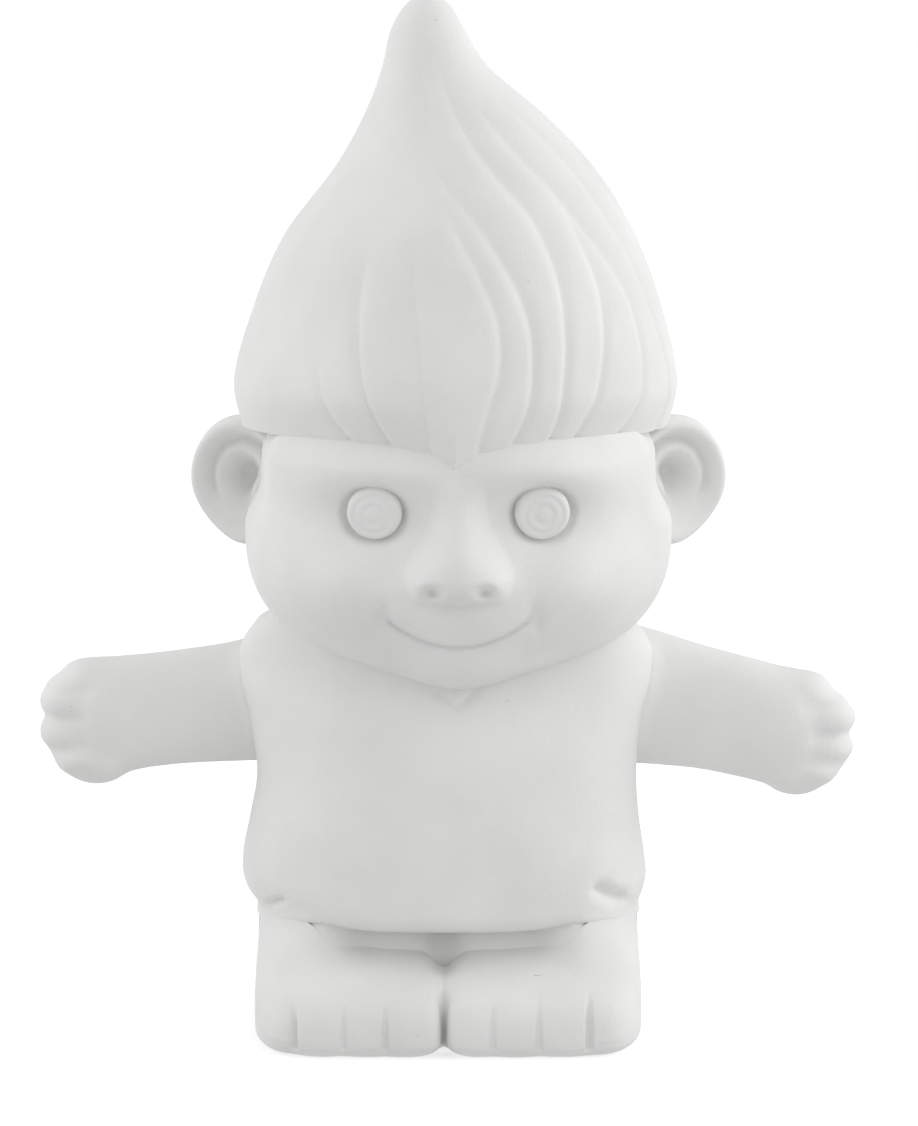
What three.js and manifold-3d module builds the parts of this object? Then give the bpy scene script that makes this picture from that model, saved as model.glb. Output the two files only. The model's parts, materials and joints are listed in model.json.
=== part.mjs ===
// Troll coin bank: a slip-cast bisque figure with swept-up hair, arms held out, a tunic and bare feet.
// The castings are hollow and luted together, so a coin dropped in the slot at the back of the hair falls
// through the head and tunic to the leg base, where a rubber stopper closes the coin hole.
// Millimetres, +Z up, the face looks along -Y, and the origin is under the middle of the figure.
import * as THREE from "three";
import { mergeVertices } from "three/addons/utils/BufferGeometryUtils.js";
import Module from "manifold-3d";

const wasm = await Module();
wasm.setup();

// Driving dimensions: joints between castings
const SEAM = 0.3;
const WALL = 5;
const LUTING_LAND = 1.8;

// How far a cutter runs past the face that it opens
const OVERCUT = 1;

// Driving dimensions: leg base, coin hole and stopper
const BASE_HEIGHT = 22;
const HEM_SIDE_STEP = 1.5;
const HEM_FRONT_STEP = 3.2;
const BASE_EDGE_ROUND = 3;
const FLOOR_THICKNESS = 5;
const RECESS_DEPTH = 5;
const COIN_HOLE_RADIUS = 15;
const STOPPER_CLEARANCE = 0.3;
const FLANGE_WIDTH = 3;
const FLANGE_THICKNESS = 2;
const PLUG_LENGTH = 11;
const PLUG_TAPER = 0.8;
const PLUG_WALL = 3;
const FINGER_ROOM = 2.5;
const PULL_TAB_HEIGHT = 2.4;
const PULL_TAB_WIDTH = 4;
const PULL_TAB_ROOT = 0.5;

// Driving dimensions: feet
const FOOT_REACH = 12;
const FOOT_SIDE_STEP = 1;
const INSTEP_HEIGHT = 18;
const TOE_HEIGHT = 13;
const TOE_COUNT = 4;
const TOE_GROOVE = 1.2;
const FOOT_CLEFT = 2;

// Driving dimensions: tunic
const HEM_HALF_WIDTH = 38.5;
const HEM_HALF_DEPTH = 30;
const HEM_ROUND = 2.5;
const CHEST_HALF_WIDTH = 36.5;
const CHEST_HALF_DEPTH = 27;
const SHOULDER_HALF_WIDTH = 35.5;
const SHOULDER_HALF_DEPTH = 22;
const CHIN_ABOVE_HEM = 44;
const SHOULDER_ABOVE_CHIN = 11;
const SHOULDER_ROUND = 6;
const SLIT_HEIGHT = 6;
const SLIT_WIDTH = 1.6;
const SLIT_DEPTH = 1.8;
const NECKLINE_NOTCH = 3;
const NOTCH_DEPTH = 2;

// Driving dimensions: arms
const ARM_REACH = 80;
const ARM_ABOVE_HEM = 41.5;
const ARM_HALF_HEIGHT = 10.6;
const ARM_HALF_DEPTH = 9;
const LEFT_HAND_DROP = 4.5;
const RIGHT_HAND_DROP = 7.5;
const FINGER_COUNT = 4;
const FINGER_RADIUS = 3.3;
const FINGER_LENGTH = 6;
const FINGER_FORWARD = 1;

// Driving dimensions: head, ears and eyes
const HEAD_HALF_WIDTH = 41;
const HEAD_HALF_DEPTH = 36;
const HEAD_HALF_HEIGHT = 37.5;
const HEAD_OFF_CENTRE = 2;
const CROWN_ABOVE_MIDDLE = 14;
const NECK_RADIUS = 19;
const EAR_HALF_HEIGHT = 12;
const EAR_REACH = 12;
const EAR_HALF_DEPTH = 6;
const EAR_RIM = 3;
const EAR_RIM_FULLER = 0.4;
const EAR_FOLD = 1.6;
const EYE_RADIUS = 5.3;
const EYE_SPACING = 32.5;
const EYE_DOME = 2.6;
const IRIS_GROOVE = 0.4;
const EYE_TILT_SPAN = 1;
const SOCKET_DEPTH = 2.2;
const NOSE_WIDTH = 20;
const NOSE_HEIGHT = 14;
const NOSE_LENGTH = 6.5;
const NOSE_ROOT = 2.2;
const NOSTRIL_RADIUS = 1.6;
const MOUTH_WIDTH = 27;
const MOUTH_CURVE = 6;
const MOUTH_LINE = 1;

// Driving dimensions: soft forms of the face, placed from the middle of the head
const CHEEK_SWELL = 3;
const CHEEK_SPACING = 48;
const CHEEK_DROP = 15;
const CHEEK_SPREAD = 11;
const MUZZLE_SWELL = 4;
const MUZZLE_DROP = 20;
const MUZZLE_WIDTH = 15;
const MUZZLE_HEIGHT = 10;
const CHIN_SWELL = 2;
const CHIN_DROP = 31;
const CHIN_WIDTH = 10;
const CHIN_HEIGHT = 6;
const BROW_SWELL = 2.2;
const BROW_SPACING = 34;
const BROW_RISE = 8;
const BROW_WIDTH = 11;
const BROW_HEIGHT = 6;
const EYE_HOLLOW_DEPTH = 4.2;
const EYE_HOLLOW_RISE = 1;
const EYE_HOLLOW_WIDTH = 10;
const EYE_HOLLOW_HEIGHT = 7.5;

// Driving dimensions: hair and coin slot
const FRINGE_OVERHANG = 2;
const FRINGE_THICKNESS = 3.6;
const HAIR_HEIGHT = 82;
const TIP_LEAN = 5.4;
const LOCK_COUNT = 24;
const LOCK_GROOVE = 1.3;
const LOCK_TWIST = 55;
const PEAK_DROP = 5.5;
const PEAK_WIDTH = 24;
const SLOT_LENGTH = 34;
const SLOT_HEIGHT = 5;
const SLOT_ABOVE_SEAM = 15;

// Heights that follow from the driving dimensions
const hemZ = BASE_HEIGHT + SEAM;
const chinZ = hemZ + CHIN_ABOVE_HEM;
const shoulderZ = chinZ + SHOULDER_ABOVE_CHIN;
const chestZ = hemZ + 0.7 * CHIN_ABOVE_HEM;
const headZ = chinZ + HEAD_HALF_HEIGHT;
const crownZ = headZ + CROWN_ABOVE_MIDDLE;
const hairZ = crownZ + SEAM;
const floorTop = RECESS_DEPTH + FLOOR_THICKNESS;

// Squareness of the rounded outlines: 2 is an ellipse and more is boxier
const TUNIC_SQUARENESS = 2.9;
const HEAD_SQUARENESS = 2.2;
const JAW_SQUARENESS = 2.5;

const bisque = () => new THREE.MeshStandardMaterial({ color: 0xe4e2de, roughness: 0.9, metalness: 0 });
const rubber = () => new THREE.MeshStandardMaterial({ color: 0x26262a, roughness: 0.7, metalness: 0 });

// Solids

function signedVolume(points, triangles) {
  let sum = 0;
  for (let i = 0; i < triangles.length; i += 3) {
    const [a, b, c] = [0, 1, 2].map((k) => points[triangles[i + k]]);
    sum += a.dot(new THREE.Vector3().crossVectors(b, c));
  }
  return sum / 6;
}

// A closed skin over a row of rings that have the same number of points, with a fan over each end.
function loft(rings) {
  const count = rings[0].length;
  const points = rings.flat();
  const triangles = [];
  for (let r = 0; r + 1 < rings.length; r++) {
    for (let i = 0; i < count; i++) {
      const a = r * count + i;
      const b = r * count + ((i + 1) % count);
      triangles.push(a, b, b + count, a, b + count, a + count);
    }
  }
  for (const [start, first, second] of [[0, 1, 0], [(rings.length - 1) * count, 0, 1]]) {
    const middle = new THREE.Vector3();
    for (let i = 0; i < count; i++) middle.addScaledVector(points[start + i], 1 / count);
    points.push(middle);
    for (let i = 0; i < count; i++) {
      triangles.push(points.length - 1, start + ((i + first) % count), start + ((i + second) % count));
    }
  }
  if (signedVolume(points, triangles) < 0) triangles.reverse();
  const geometry = new THREE.BufferGeometry().setFromPoints(points);
  geometry.setIndex(triangles);
  return solidFrom(geometry);
}

function solidFrom(geometry) {
  const bare = geometry.clone();
  bare.deleteAttribute("normal");
  bare.deleteAttribute("uv");
  const merged = mergeVertices(bare, 1e-4);
  const index = merged.index.array;
  const triVerts = [];
  for (let i = 0; i < index.length; i += 3) {
    const [a, b, c] = [index[i], index[i + 1], index[i + 2]];
    if (a !== b && b !== c && c !== a) triVerts.push(a, b, c);
  }
  return new wasm.Manifold(new wasm.Mesh({
    numProp: 3,
    vertProperties: merged.attributes.position.array,
    triVerts: new Uint32Array(triVerts),
  }));
}

function ellipsoid(radii, centre, turn = new THREE.Euler(), around = 20, along = 12) {
  const geometry = new THREE.SphereGeometry(1, around, along);
  geometry.scale(...radii);
  geometry.applyMatrix4(new THREE.Matrix4().makeRotationFromEuler(turn));
  geometry.translate(...centre);
  return solidFrom(geometry);
}

function block(low, high) {
  const size = high.map((value, k) => value - low[k]);
  const geometry = new THREE.BoxGeometry(...size);
  geometry.translate(...low.map((value, k) => value + size[k] / 2));
  return solidFrom(geometry);
}

function uprightCylinder(radius, lowZ, highZ, sides = 40) {
  const geometry = new THREE.CylinderGeometry(radius, radius, highZ - lowZ, sides);
  geometry.rotateX(Math.PI / 2);
  geometry.translate(0, 0, (lowZ + highZ) / 2);
  return solidFrom(geometry);
}

function node(name, solid, material) {
  const made = solid.getMesh();
  const geometry = new THREE.BufferGeometry();
  geometry.setAttribute("position", new THREE.BufferAttribute(made.vertProperties, 3));
  geometry.setIndex(new THREE.BufferAttribute(made.triVerts, 1));
  geometry.computeVertexNormals();
  const mesh = new THREE.Mesh(geometry, material);
  mesh.name = name;
  return mesh;
}

// A point on a rounded box outline, with the angle measured from the front.
function outlinePoint(angle, halfWidth, halfDepth, squareness) {
  const round = (value) => Math.sign(value) * Math.abs(value) ** (2 / squareness);
  return [halfWidth * round(Math.sin(angle)), -halfDepth * round(Math.cos(angle))];
}

function evenAngles(count) {
  return Array.from({ length: count }, (_, i) => (2 * Math.PI * i) / count);
}

function ring(angles, halfWidth, halfDepth, z, squareness, shift = 0) {
  return angles.map((angle) => {
    const [x, y] = outlinePoint(angle, halfWidth, halfDepth, squareness);
    return new THREE.Vector3(x + shift, y, z);
  });
}

const smooth = (low, high, value) => THREE.MathUtils.smoothstep(value, low, high);

// Leg base: the lower casting, with the floor and the coin hole

const baseHalfWidth = HEM_HALF_WIDTH - HEM_SIDE_STEP;
const baseHalfDepth = HEM_HALF_DEPTH - HEM_FRONT_STEP;

function baseSkin(grow, top = BASE_HEIGHT) {
  const angles = evenAngles(40);
  const edge = [0, 30, 60, 90].map((degrees) => {
    const turn = THREE.MathUtils.degToRad(degrees);
    return [BASE_EDGE_ROUND * (1 - Math.cos(turn)), BASE_EDGE_ROUND * (Math.sin(turn) - 1)];
  });
  const levels = [...edge, [top, 0]];
  return loft(levels.map(([z, inset]) =>
    ring(angles, baseHalfWidth + inset + grow, baseHalfDepth + inset + grow, z, TUNIC_SQUARENESS)));
}

function legBase() {
  const angles = evenAngles(28);
  const bowl = loft([floorTop, BASE_HEIGHT + OVERCUT].map((z) =>
    ring(angles, baseHalfWidth - WALL, baseHalfDepth - WALL, z, TUNIC_SQUARENESS)));
  const recess = COIN_HOLE_RADIUS + FLANGE_WIDTH + FINGER_ROOM;
  return baseSkin(0)
    .subtract(bowl)
    .subtract(uprightCylinder(COIN_HOLE_RADIUS, -OVERCUT, floorTop + OVERCUT))
    .subtract(uprightCylinder(recess, -OVERCUT, RECESS_DEPTH));
}

// Rubber stopper: a flanged cup-shaped plug with a pull tab across its underside

function stopper() {
  const bore = COIN_HOLE_RADIUS - STOPPER_CLEARANCE;
  const flangeTop = RECESS_DEPTH - SEAM;
  const flangeBottom = flangeTop - FLANGE_THICKNESS;
  const plugTop = flangeTop + PLUG_LENGTH;
  const cupFloor = flangeTop + PLUG_WALL;
  const profile = [
    [0, flangeBottom],
    [bore + FLANGE_WIDTH, flangeBottom],
    [bore + FLANGE_WIDTH, flangeTop],
    [bore, flangeTop],
    [bore, flangeTop + FLOOR_THICKNESS],
    [bore - PLUG_TAPER, plugTop],
    [bore - PLUG_TAPER - PLUG_WALL, plugTop],
    [bore - PLUG_TAPER - PLUG_WALL, cupFloor],
    [0, cupFloor],
  ].map(([radius, z]) => new THREE.Vector2(radius, z));
  const geometry = new THREE.LatheGeometry(profile, 32);
  geometry.rotateX(Math.PI / 2);
  const plug = solidFrom(geometry);
  const tabBottom = flangeBottom - PULL_TAB_HEIGHT;
  const tabTop = flangeBottom + PULL_TAB_ROOT;
  const tab = block([-bore, -PULL_TAB_WIDTH / 2, tabBottom], [bore, PULL_TAB_WIDTH / 2, tabTop]);
  return plug.add(tab);
}

// Feet: broad bare feet whose toes are marked by grooves

// A lengthwise slice of a foot: flat sole, rounded toe and a rise to the instep.
function footSlice(x, back, front, toeHeight, instep) {
  const round = toeHeight / 2;
  const toe = [-90, -60, -30, 0, 30, 60].map((degrees) => {
    const turn = THREE.MathUtils.degToRad(degrees);
    return new THREE.Vector2(front - round + round * Math.cos(turn), round + round * Math.sin(turn));
  });
  const ankle = THREE.MathUtils.lerp(back, front - round, 0.78);
  const rise = new THREE.CubicBezierCurve(
    new THREE.Vector2(front - round, toeHeight),
    new THREE.Vector2(front - 1.5 * round, toeHeight),
    new THREE.Vector2(ankle + 0.5 * round, instep),
    new THREE.Vector2(ankle, instep),
  );
  const heel = [new THREE.Vector2(back, instep), new THREE.Vector2(back, 0)];
  const outline = [...toe, ...rise.getPoints(4), ...heel];
  return outline.map((point) => new THREE.Vector3(x, -point.x, point.y));
}

function foot(side) {
  const inner = FOOT_CLEFT / 2;
  const width = baseHalfWidth - FOOT_SIDE_STEP - inner;
  const ankle = 0.15 * baseHalfDepth;
  const shares = [0, 0.14, 0.5, 0.86];
  const slices = [];
  for (let i = 0; i <= TOE_COUNT * shares.length; i++) {
    const share = shares[i % shares.length];
    const across = (Math.floor(i / shares.length) + share) / TOE_COUNT;
    const round = Math.max((1 - across ** 3.2) ** 0.42, 0.3);
    const groove = share === 0 ? TOE_GROOVE * (i === 0 ? 1.8 : 1) : 0;
    const front = ankle + (baseHalfDepth + FOOT_REACH - ankle) * round - groove;
    const toeHeight = TOE_HEIGHT * (0.8 + 0.2 * round) - groove;
    const instep = THREE.MathUtils.lerp(toeHeight, INSTEP_HEIGHT, smooth(-0.15, 0.35, across));
    slices.push(footSlice(side * (inner + across * width), ankle * (1 - 3 * round), front, toeHeight, instep));
  }
  return loft(slices).subtract(baseSkin(SEAM, 2 * BASE_HEIGHT));
}

// Tunic: a sack-shaped hollow casting, dished at the top where the head sits

const tunicProfile = new THREE.CatmullRomCurve3([
  [HEM_HALF_WIDTH - HEM_ROUND * 0.4, HEM_HALF_DEPTH - HEM_ROUND * 0.4, hemZ],
  [HEM_HALF_WIDTH, HEM_HALF_DEPTH, hemZ + HEM_ROUND * 2],
  [CHEST_HALF_WIDTH, CHEST_HALF_DEPTH, chestZ],
  [SHOULDER_HALF_WIDTH, SHOULDER_HALF_DEPTH, shoulderZ],
  [SHOULDER_HALF_WIDTH - SHOULDER_ROUND, SHOULDER_HALF_DEPTH - SHOULDER_ROUND, shoulderZ + SHOULDER_ROUND],
].map((sizes) => new THREE.Vector3(...sizes)));

function tunicSkin(grow) {
  const angles = evenAngles(40);
  return loft(tunicProfile.getPoints(11).map(({ x, y, z }) =>
    ring(angles, x + grow, y + grow, z, TUNIC_SQUARENESS)));
}

function tunicHollow() {
  const angles = evenAngles(28);
  const levels = tunicProfile.getPoints(6);
  const first = levels[0].clone().setZ(hemZ - OVERCUT);
  return loft([first, ...levels.slice(1)].map(({ x, y, z }) =>
    ring(angles, x - WALL, y - WALL, z, TUNIC_SQUARENESS)));
}

// A slit where the front and back panels of the hem part, towards each front corner.
function hemSlit(side) {
  const [x, y] = outlinePoint(side * 1.05, HEM_HALF_WIDTH, HEM_HALF_DEPTH, TUNIC_SQUARENESS);
  const geometry = new THREE.CylinderGeometry(SLIT_WIDTH, SLIT_WIDTH * 0.3, SLIT_HEIGHT, 8);
  geometry.scale(1, 1, SLIT_DEPTH / SLIT_WIDTH);
  geometry.rotateX(-Math.PI / 2);
  geometry.rotateZ(side * 0.9);
  geometry.translate(x, y, hemZ + SLIT_HEIGHT / 2);
  return solidFrom(geometry);
}

function necklineNotch() {
  const outline = new THREE.Shape([
    new THREE.Vector2(-2 * NECKLINE_NOTCH, chinZ + 2 * NECKLINE_NOTCH),
    new THREE.Vector2(0, chinZ - NECKLINE_NOTCH),
    new THREE.Vector2(2 * NECKLINE_NOTCH, chinZ + 2 * NECKLINE_NOTCH),
  ]);
  const share = (chinZ - chestZ) / (shoulderZ - chestZ);
  const front = THREE.MathUtils.lerp(CHEST_HALF_DEPTH, SHOULDER_HALF_DEPTH, share);
  const geometry = new THREE.ExtrudeGeometry(outline, { depth: HEM_HALF_DEPTH, bevelEnabled: false });
  geometry.rotateX(Math.PI / 2);
  geometry.translate(HEAD_OFF_CENTRE, NOTCH_DEPTH - front, 0);
  return solidFrom(geometry);
}

function tunic() {
  return tunicSkin(0)
    .subtract(tunicHollow())
    .subtract(headSkin(SEAM))
    .subtract(necklineNotch())
    .subtract(hemSlit(-1))
    .subtract(hemSlit(1));
}

// Arms: tapered limbs that end in a rounded hand with stubby fingers

function arm(side, handDrop) {
  const root = CHEST_HALF_WIDTH - WALL;
  const wrist = ARM_REACH - FINGER_LENGTH;
  const axisZ = hemZ + ARM_ABOVE_HEM;
  const along = (share) => side * THREE.MathUtils.lerp(root, wrist, share);
  const height = (share) => axisZ - handDrop * smooth(0.15, 1, share);
  const girths = [[0, 1.15], [0.2, 1.1], [0.45, 1], [0.62, 1.02], [0.8, 1.12], [0.93, 1.1], [1, 0.9]];
  const angles = evenAngles(20);
  const limb = loft(girths.map(([share, girth]) => angles.map((angle) => {
    const [y, z] = outlinePoint(angle, ARM_HALF_DEPTH * girth, ARM_HALF_HEIGHT * girth, 2.2);
    return new THREE.Vector3(along(share), y, height(share) + z);
  })));
  const spread = 2 * (ARM_HALF_HEIGHT * 1.12 - FINGER_RADIUS);
  let made = limb;
  for (let finger = 0; finger < FINGER_COUNT; finger++) {
    const place = finger / (FINGER_COUNT - 1) - 0.5;
    const reach = FINGER_LENGTH * (1 - 1.4 * place * place);
    const turn = new THREE.Euler(0, side * place * 0.4, 0);
    made = made.add(ellipsoid(
      [FINGER_LENGTH, ARM_HALF_DEPTH * 0.62, FINGER_RADIUS],
      [side * (wrist + reach - FINGER_LENGTH), -FINGER_FORWARD, height(1) - place * spread],
      turn,
      10,
      8,
    ));
  }
  return made.subtract(tunicSkin(SEAM)).subtract(headSkin(SEAM));
}

// Head: a rounded casting with a broad face, open at the crown and the neck

function headGirth(z) {
  const share = Math.min(Math.abs((z - headZ) / HEAD_HALF_HEIGHT), 0.999);
  return (1 - share ** JAW_SQUARENESS) ** (1 / JAW_SQUARENESS);
}

// The soft forms of the face, mirrored about its middle: how far each stands out, or in where it is below
// zero, where it sits from the middle of the head, and how wide and tall it spreads.
const FACE_FORMS = [
  {
    form: "cheek", height: CHEEK_SWELL, across: CHEEK_SPACING / 2, up: -CHEEK_DROP,
    wide: CHEEK_SPREAD, tall: CHEEK_SPREAD,
  },
  {
    form: "muzzle", height: MUZZLE_SWELL, across: 0, up: -MUZZLE_DROP,
    wide: MUZZLE_WIDTH, tall: MUZZLE_HEIGHT,
  },
  {
    form: "chin", height: CHIN_SWELL, across: 0, up: -CHIN_DROP,
    wide: CHIN_WIDTH, tall: CHIN_HEIGHT,
  },
  {
    form: "brow", height: BROW_SWELL, across: BROW_SPACING / 2, up: BROW_RISE,
    wide: BROW_WIDTH, tall: BROW_HEIGHT,
  },
  {
    form: "eye hollow", height: -EYE_HOLLOW_DEPTH, across: EYE_SPACING / 2, up: EYE_HOLLOW_RISE,
    wide: EYE_HOLLOW_WIDTH, tall: EYE_HOLLOW_HEIGHT,
  },
];

function faceRelief(x, z) {
  let relief = 0;
  for (const { height, across, up, wide, tall } of FACE_FORMS) {
    relief += height * Math.exp(-(((Math.abs(x) - across) / wide) ** 2) - ((z - headZ - up) / tall) ** 2);
  }
  return relief;
}

// The depth of the face's surface, forward of the head's middle, at a place across and up.
function faceDepth(x, z) {
  const girth = headGirth(z);
  const across = Math.min(Math.abs(x) / (HEAD_HALF_WIDTH * girth), 0.999);
  const depth = HEAD_HALF_DEPTH * girth * (1 - across ** HEAD_SQUARENESS) ** (1 / HEAD_SQUARENESS);
  return depth + faceRelief(x, z);
}

function headSkin(grow, top = crownZ) {
  const count = 48;
  const rows = 16;
  const angles = Array.from({ length: count }, (_, i) => {
    const share = (2 * i) / count - 1;
    return Math.PI * (0.45 * share + 0.55 * share ** 3);
  });
  const jaw = Array.from({ length: rows }, (_, i) =>
    -HEAD_HALF_HEIGHT * Math.cos(((i + 1) / rows) * Math.PI * 0.5));
  const crown = [0.25, 0.5, 0.75, 1].map((share) => share * (top - headZ));
  return loft([...jaw, ...crown].map((up) => {
    const girth = headGirth(headZ + up);
    return angles.map((angle) => {
      const [x, y] = outlinePoint(
        angle, HEAD_HALF_WIDTH * girth + grow, HEAD_HALF_DEPTH * girth + grow, HEAD_SQUARENESS);
      const front = smooth(0.1, 0.7, Math.cos(angle)) * smooth(0.1, 0.5, girth);
      return new THREE.Vector3(x + HEAD_OFF_CENTRE, y - front * faceRelief(x, headZ + up), headZ + up);
    });
  }));
}

function headHollow() {
  const angles = evenAngles(24);
  const low = headZ - HEAD_HALF_HEIGHT + WALL;
  const shares = [0, 0.05, 0.16, 0.34, 0.6, 0.8, 1];
  const levels = shares.map((share) => THREE.MathUtils.lerp(low, crownZ + OVERCUT, share));
  return loft(levels.map((z) => {
    const share = Math.max(headGirth(z - WALL * smooth(0, 1, (headZ - z) / HEAD_HALF_HEIGHT)), 0.15);
    const inset = z > headZ ? WALL : WALL * 1.1;
    return ring(angles, HEAD_HALF_WIDTH * share - inset, HEAD_HALF_DEPTH * share - inset, z,
      HEAD_SQUARENESS, HEAD_OFF_CENTRE);
  }));
}

// The nose narrows to a bridge between the eyes and spreads to broad wings below.
const noseTop = headZ + 0.3 * NOSE_HEIGHT;
const noseBottom = headZ - 1.1 * NOSE_HEIGHT;
const noseProfile = new THREE.CatmullRomCurve3([
  [0.1, 0.05, 0],
  [0.2, 0.2, 0.2],
  [0.29, 0.48, 0.4],
  [0.4, 0.82, 0.58],
  [0.5, 1, 0.76],
  [0.42, 0.75, 0.92],
  [0.25, 0.1, 1],
].map((shares) => new THREE.Vector3(...shares)));

function nose() {
  const angles = evenAngles(24);
  return loft(noseProfile.getPoints(12).map((share) => {
    const z = THREE.MathUtils.lerp(noseTop, noseBottom, share.z);
    const root = -faceDepth(0, z) + NOSE_ROOT;
    const depth = NOSE_LENGTH * share.y + NOSE_ROOT;
    const slice = ring(angles, NOSE_WIDTH * share.x, depth, z, 2.2, HEAD_OFF_CENTRE);
    return slice.map((point) => point.setY(point.y + root));
  }));
}

function nostrils() {
  const z = THREE.MathUtils.lerp(noseTop, noseBottom, 0.88);
  const front = -faceDepth(0, z) - 0.72 * NOSE_LENGTH;
  const hole = (side) => ellipsoid(
    [NOSTRIL_RADIUS, NOSTRIL_RADIUS, NOSTRIL_RADIUS],
    [HEAD_OFF_CENTRE + side * 0.24 * NOSE_WIDTH, front, z], new THREE.Euler(), 10, 6);
  return hole(-1).add(hole(1));
}

// The smile: a groove that follows the muzzle.
function mouthLine() {
  const middleZ = headZ - HEAD_HALF_HEIGHT * 0.68;
  const points = [-1, -0.6, 0, 0.6, 1].map((share) => {
    const x = (share * MOUTH_WIDTH) / 2;
    const z = middleZ + MOUTH_CURVE * share * share;
    return new THREE.Vector3(HEAD_OFF_CENTRE + x, -faceDepth(x, z), z);
  });
  const section = new THREE.Shape();
  section.absellipse(0, 0, MOUTH_LINE, MOUTH_LINE, 0, 2 * Math.PI);
  const geometry = new THREE.ExtrudeGeometry(section, {
    extrudePath: new THREE.CatmullRomCurve3(points), steps: 16, curveSegments: 4,
  });
  return solidFrom(geometry);
}

// Eyes: domed buttons, each set in a round socket square to the face

function eyeFrame(side) {
  const x = (side * EYE_SPACING) / 2;
  const z = headZ;
  const step = EYE_TILT_SPAN;
  const across = new THREE.Vector3(2 * step, faceDepth(x - step, z) - faceDepth(x + step, z), 0);
  const up = new THREE.Vector3(0, faceDepth(x, z - step) - faceDepth(x, z + step), 2 * step);
  const out = new THREE.Vector3().crossVectors(across, up).normalize();
  const turn = new THREE.Quaternion().setFromUnitVectors(new THREE.Vector3(0, 0, 1), out);
  const place = new THREE.Vector3(HEAD_OFF_CENTRE + x, -faceDepth(x, z), z);
  return new THREE.Matrix4().compose(place, turn, new THREE.Vector3(1, 1, 1));
}

function eyeTurning(profile, side) {
  const geometry = new THREE.LatheGeometry(profile.map(([r, z]) => new THREE.Vector2(r, z)), 22);
  geometry.rotateX(Math.PI / 2);
  geometry.applyMatrix4(eyeFrame(side));
  return solidFrom(geometry);
}

function eyeSocket(side) {
  const reach = 3 * EYE_DOME;
  const radius = EYE_RADIUS + SEAM;
  return eyeTurning([[0, -SOCKET_DEPTH], [radius, -SOCKET_DEPTH], [radius, reach], [0, reach]], side);
}

function eye(side) {
  const back = SEAM - SOCKET_DEPTH;
  const iris = EYE_RADIUS * 0.55;
  const dome = (radius) => EYE_DOME * Math.sqrt(1 - 0.75 * (radius / EYE_RADIUS) ** 2) - 0.5 * EYE_DOME;
  const profile = [
    [0, back],
    [EYE_RADIUS, back],
    [EYE_RADIUS, dome(EYE_RADIUS)],
    [EYE_RADIUS * 0.8, dome(EYE_RADIUS * 0.8)],
    [iris * 1.15, dome(iris * 1.15)],
    [iris, dome(iris) - IRIS_GROOVE],
    [iris * 0.85, dome(iris * 0.85)],
    [iris * 0.4, dome(iris * 0.4)],
    [0, dome(0)],
  ];
  return eyeTurning(profile, side);
}

function head() {
  return headSkin(0)
    .add(nose())
    .subtract(headHollow())
    .subtract(uprightCylinder(NECK_RADIUS, chinZ - WALL, chinZ + 3 * WALL).translate([HEAD_OFF_CENTRE, 0, 0]))
    .subtract(nostrils())
    .subtract(mouthLine())
    .subtract(eyeSocket(-1))
    .subtract(eyeSocket(1));
}

// Ears: round dished ears that face forward

function ear(side) {
  const z = crownZ - EAR_HALF_HEIGHT;
  const x = HEAD_OFF_CENTRE + side * HEAD_HALF_WIDTH;
  const turn = new THREE.Euler(0, 0, side * 0.35);
  const disc = ellipsoid(
    [EAR_REACH, EAR_HALF_DEPTH, EAR_HALF_HEIGHT],
    [x, EAR_HALF_DEPTH * 0.3, z], turn, 20, 12);
  const dish = ellipsoid(
    [EAR_REACH - EAR_RIM, EAR_HALF_DEPTH, EAR_HALF_HEIGHT - EAR_RIM],
    [x - side * EAR_RIM_FULLER, -EAR_HALF_DEPTH * 0.75, z], turn, 16, 10);
  const fold = ellipsoid(
    [EAR_FOLD, EAR_HALF_DEPTH * 0.55, EAR_HALF_HEIGHT * 0.45],
    [x + side * EAR_REACH * 0.42, 0, z + EAR_HALF_HEIGHT * 0.12], turn, 10, 6);
  return disc.subtract(dish).add(fold).subtract(headSkin(SEAM));
}

// Hair: a flame of locks swept up to a point, with the coin slot in its back

const hairHalfWidth = HEAD_HALF_WIDTH + FRINGE_OVERHANG;
const hairHalfDepth = HEAD_HALF_DEPTH + FRINGE_THICKNESS;

// Height, girth and sideways lean of the hair, as shares of its height, half width and lean at the tip.
const hairProfile = new THREE.CatmullRomCurve3([
  [0, 0.945, 0.05],
  [0.03, 0.982, 0.05],
  [0.1, 1, 0.05],
  [0.22, 0.955, 0],
  [0.39, 0.845, -0.05],
  [0.5, 0.72, -0.18],
  [0.62, 0.565, -0.22],
  [0.735, 0.405, 0.05],
  [0.85, 0.236, 0.8],
  [0.905, 0.173, 1],
  [0.965, 0.11, 1],
  [1, 0.03, 1],
].map(([up, girth, lean]) => new THREE.Vector3(lean, girth, up)));

function lockAngles() {
  const shares = [0, 0.25, 0.75];
  return Array.from({ length: LOCK_COUNT * shares.length }, (_, i) => {
    const lock = Math.floor(i / shares.length) + 0.5;
    const share = shares[i % shares.length];
    return { angle: ((lock + share) / LOCK_COUNT) * 2 * Math.PI, groove: share === 0 };
  });
}

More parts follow.
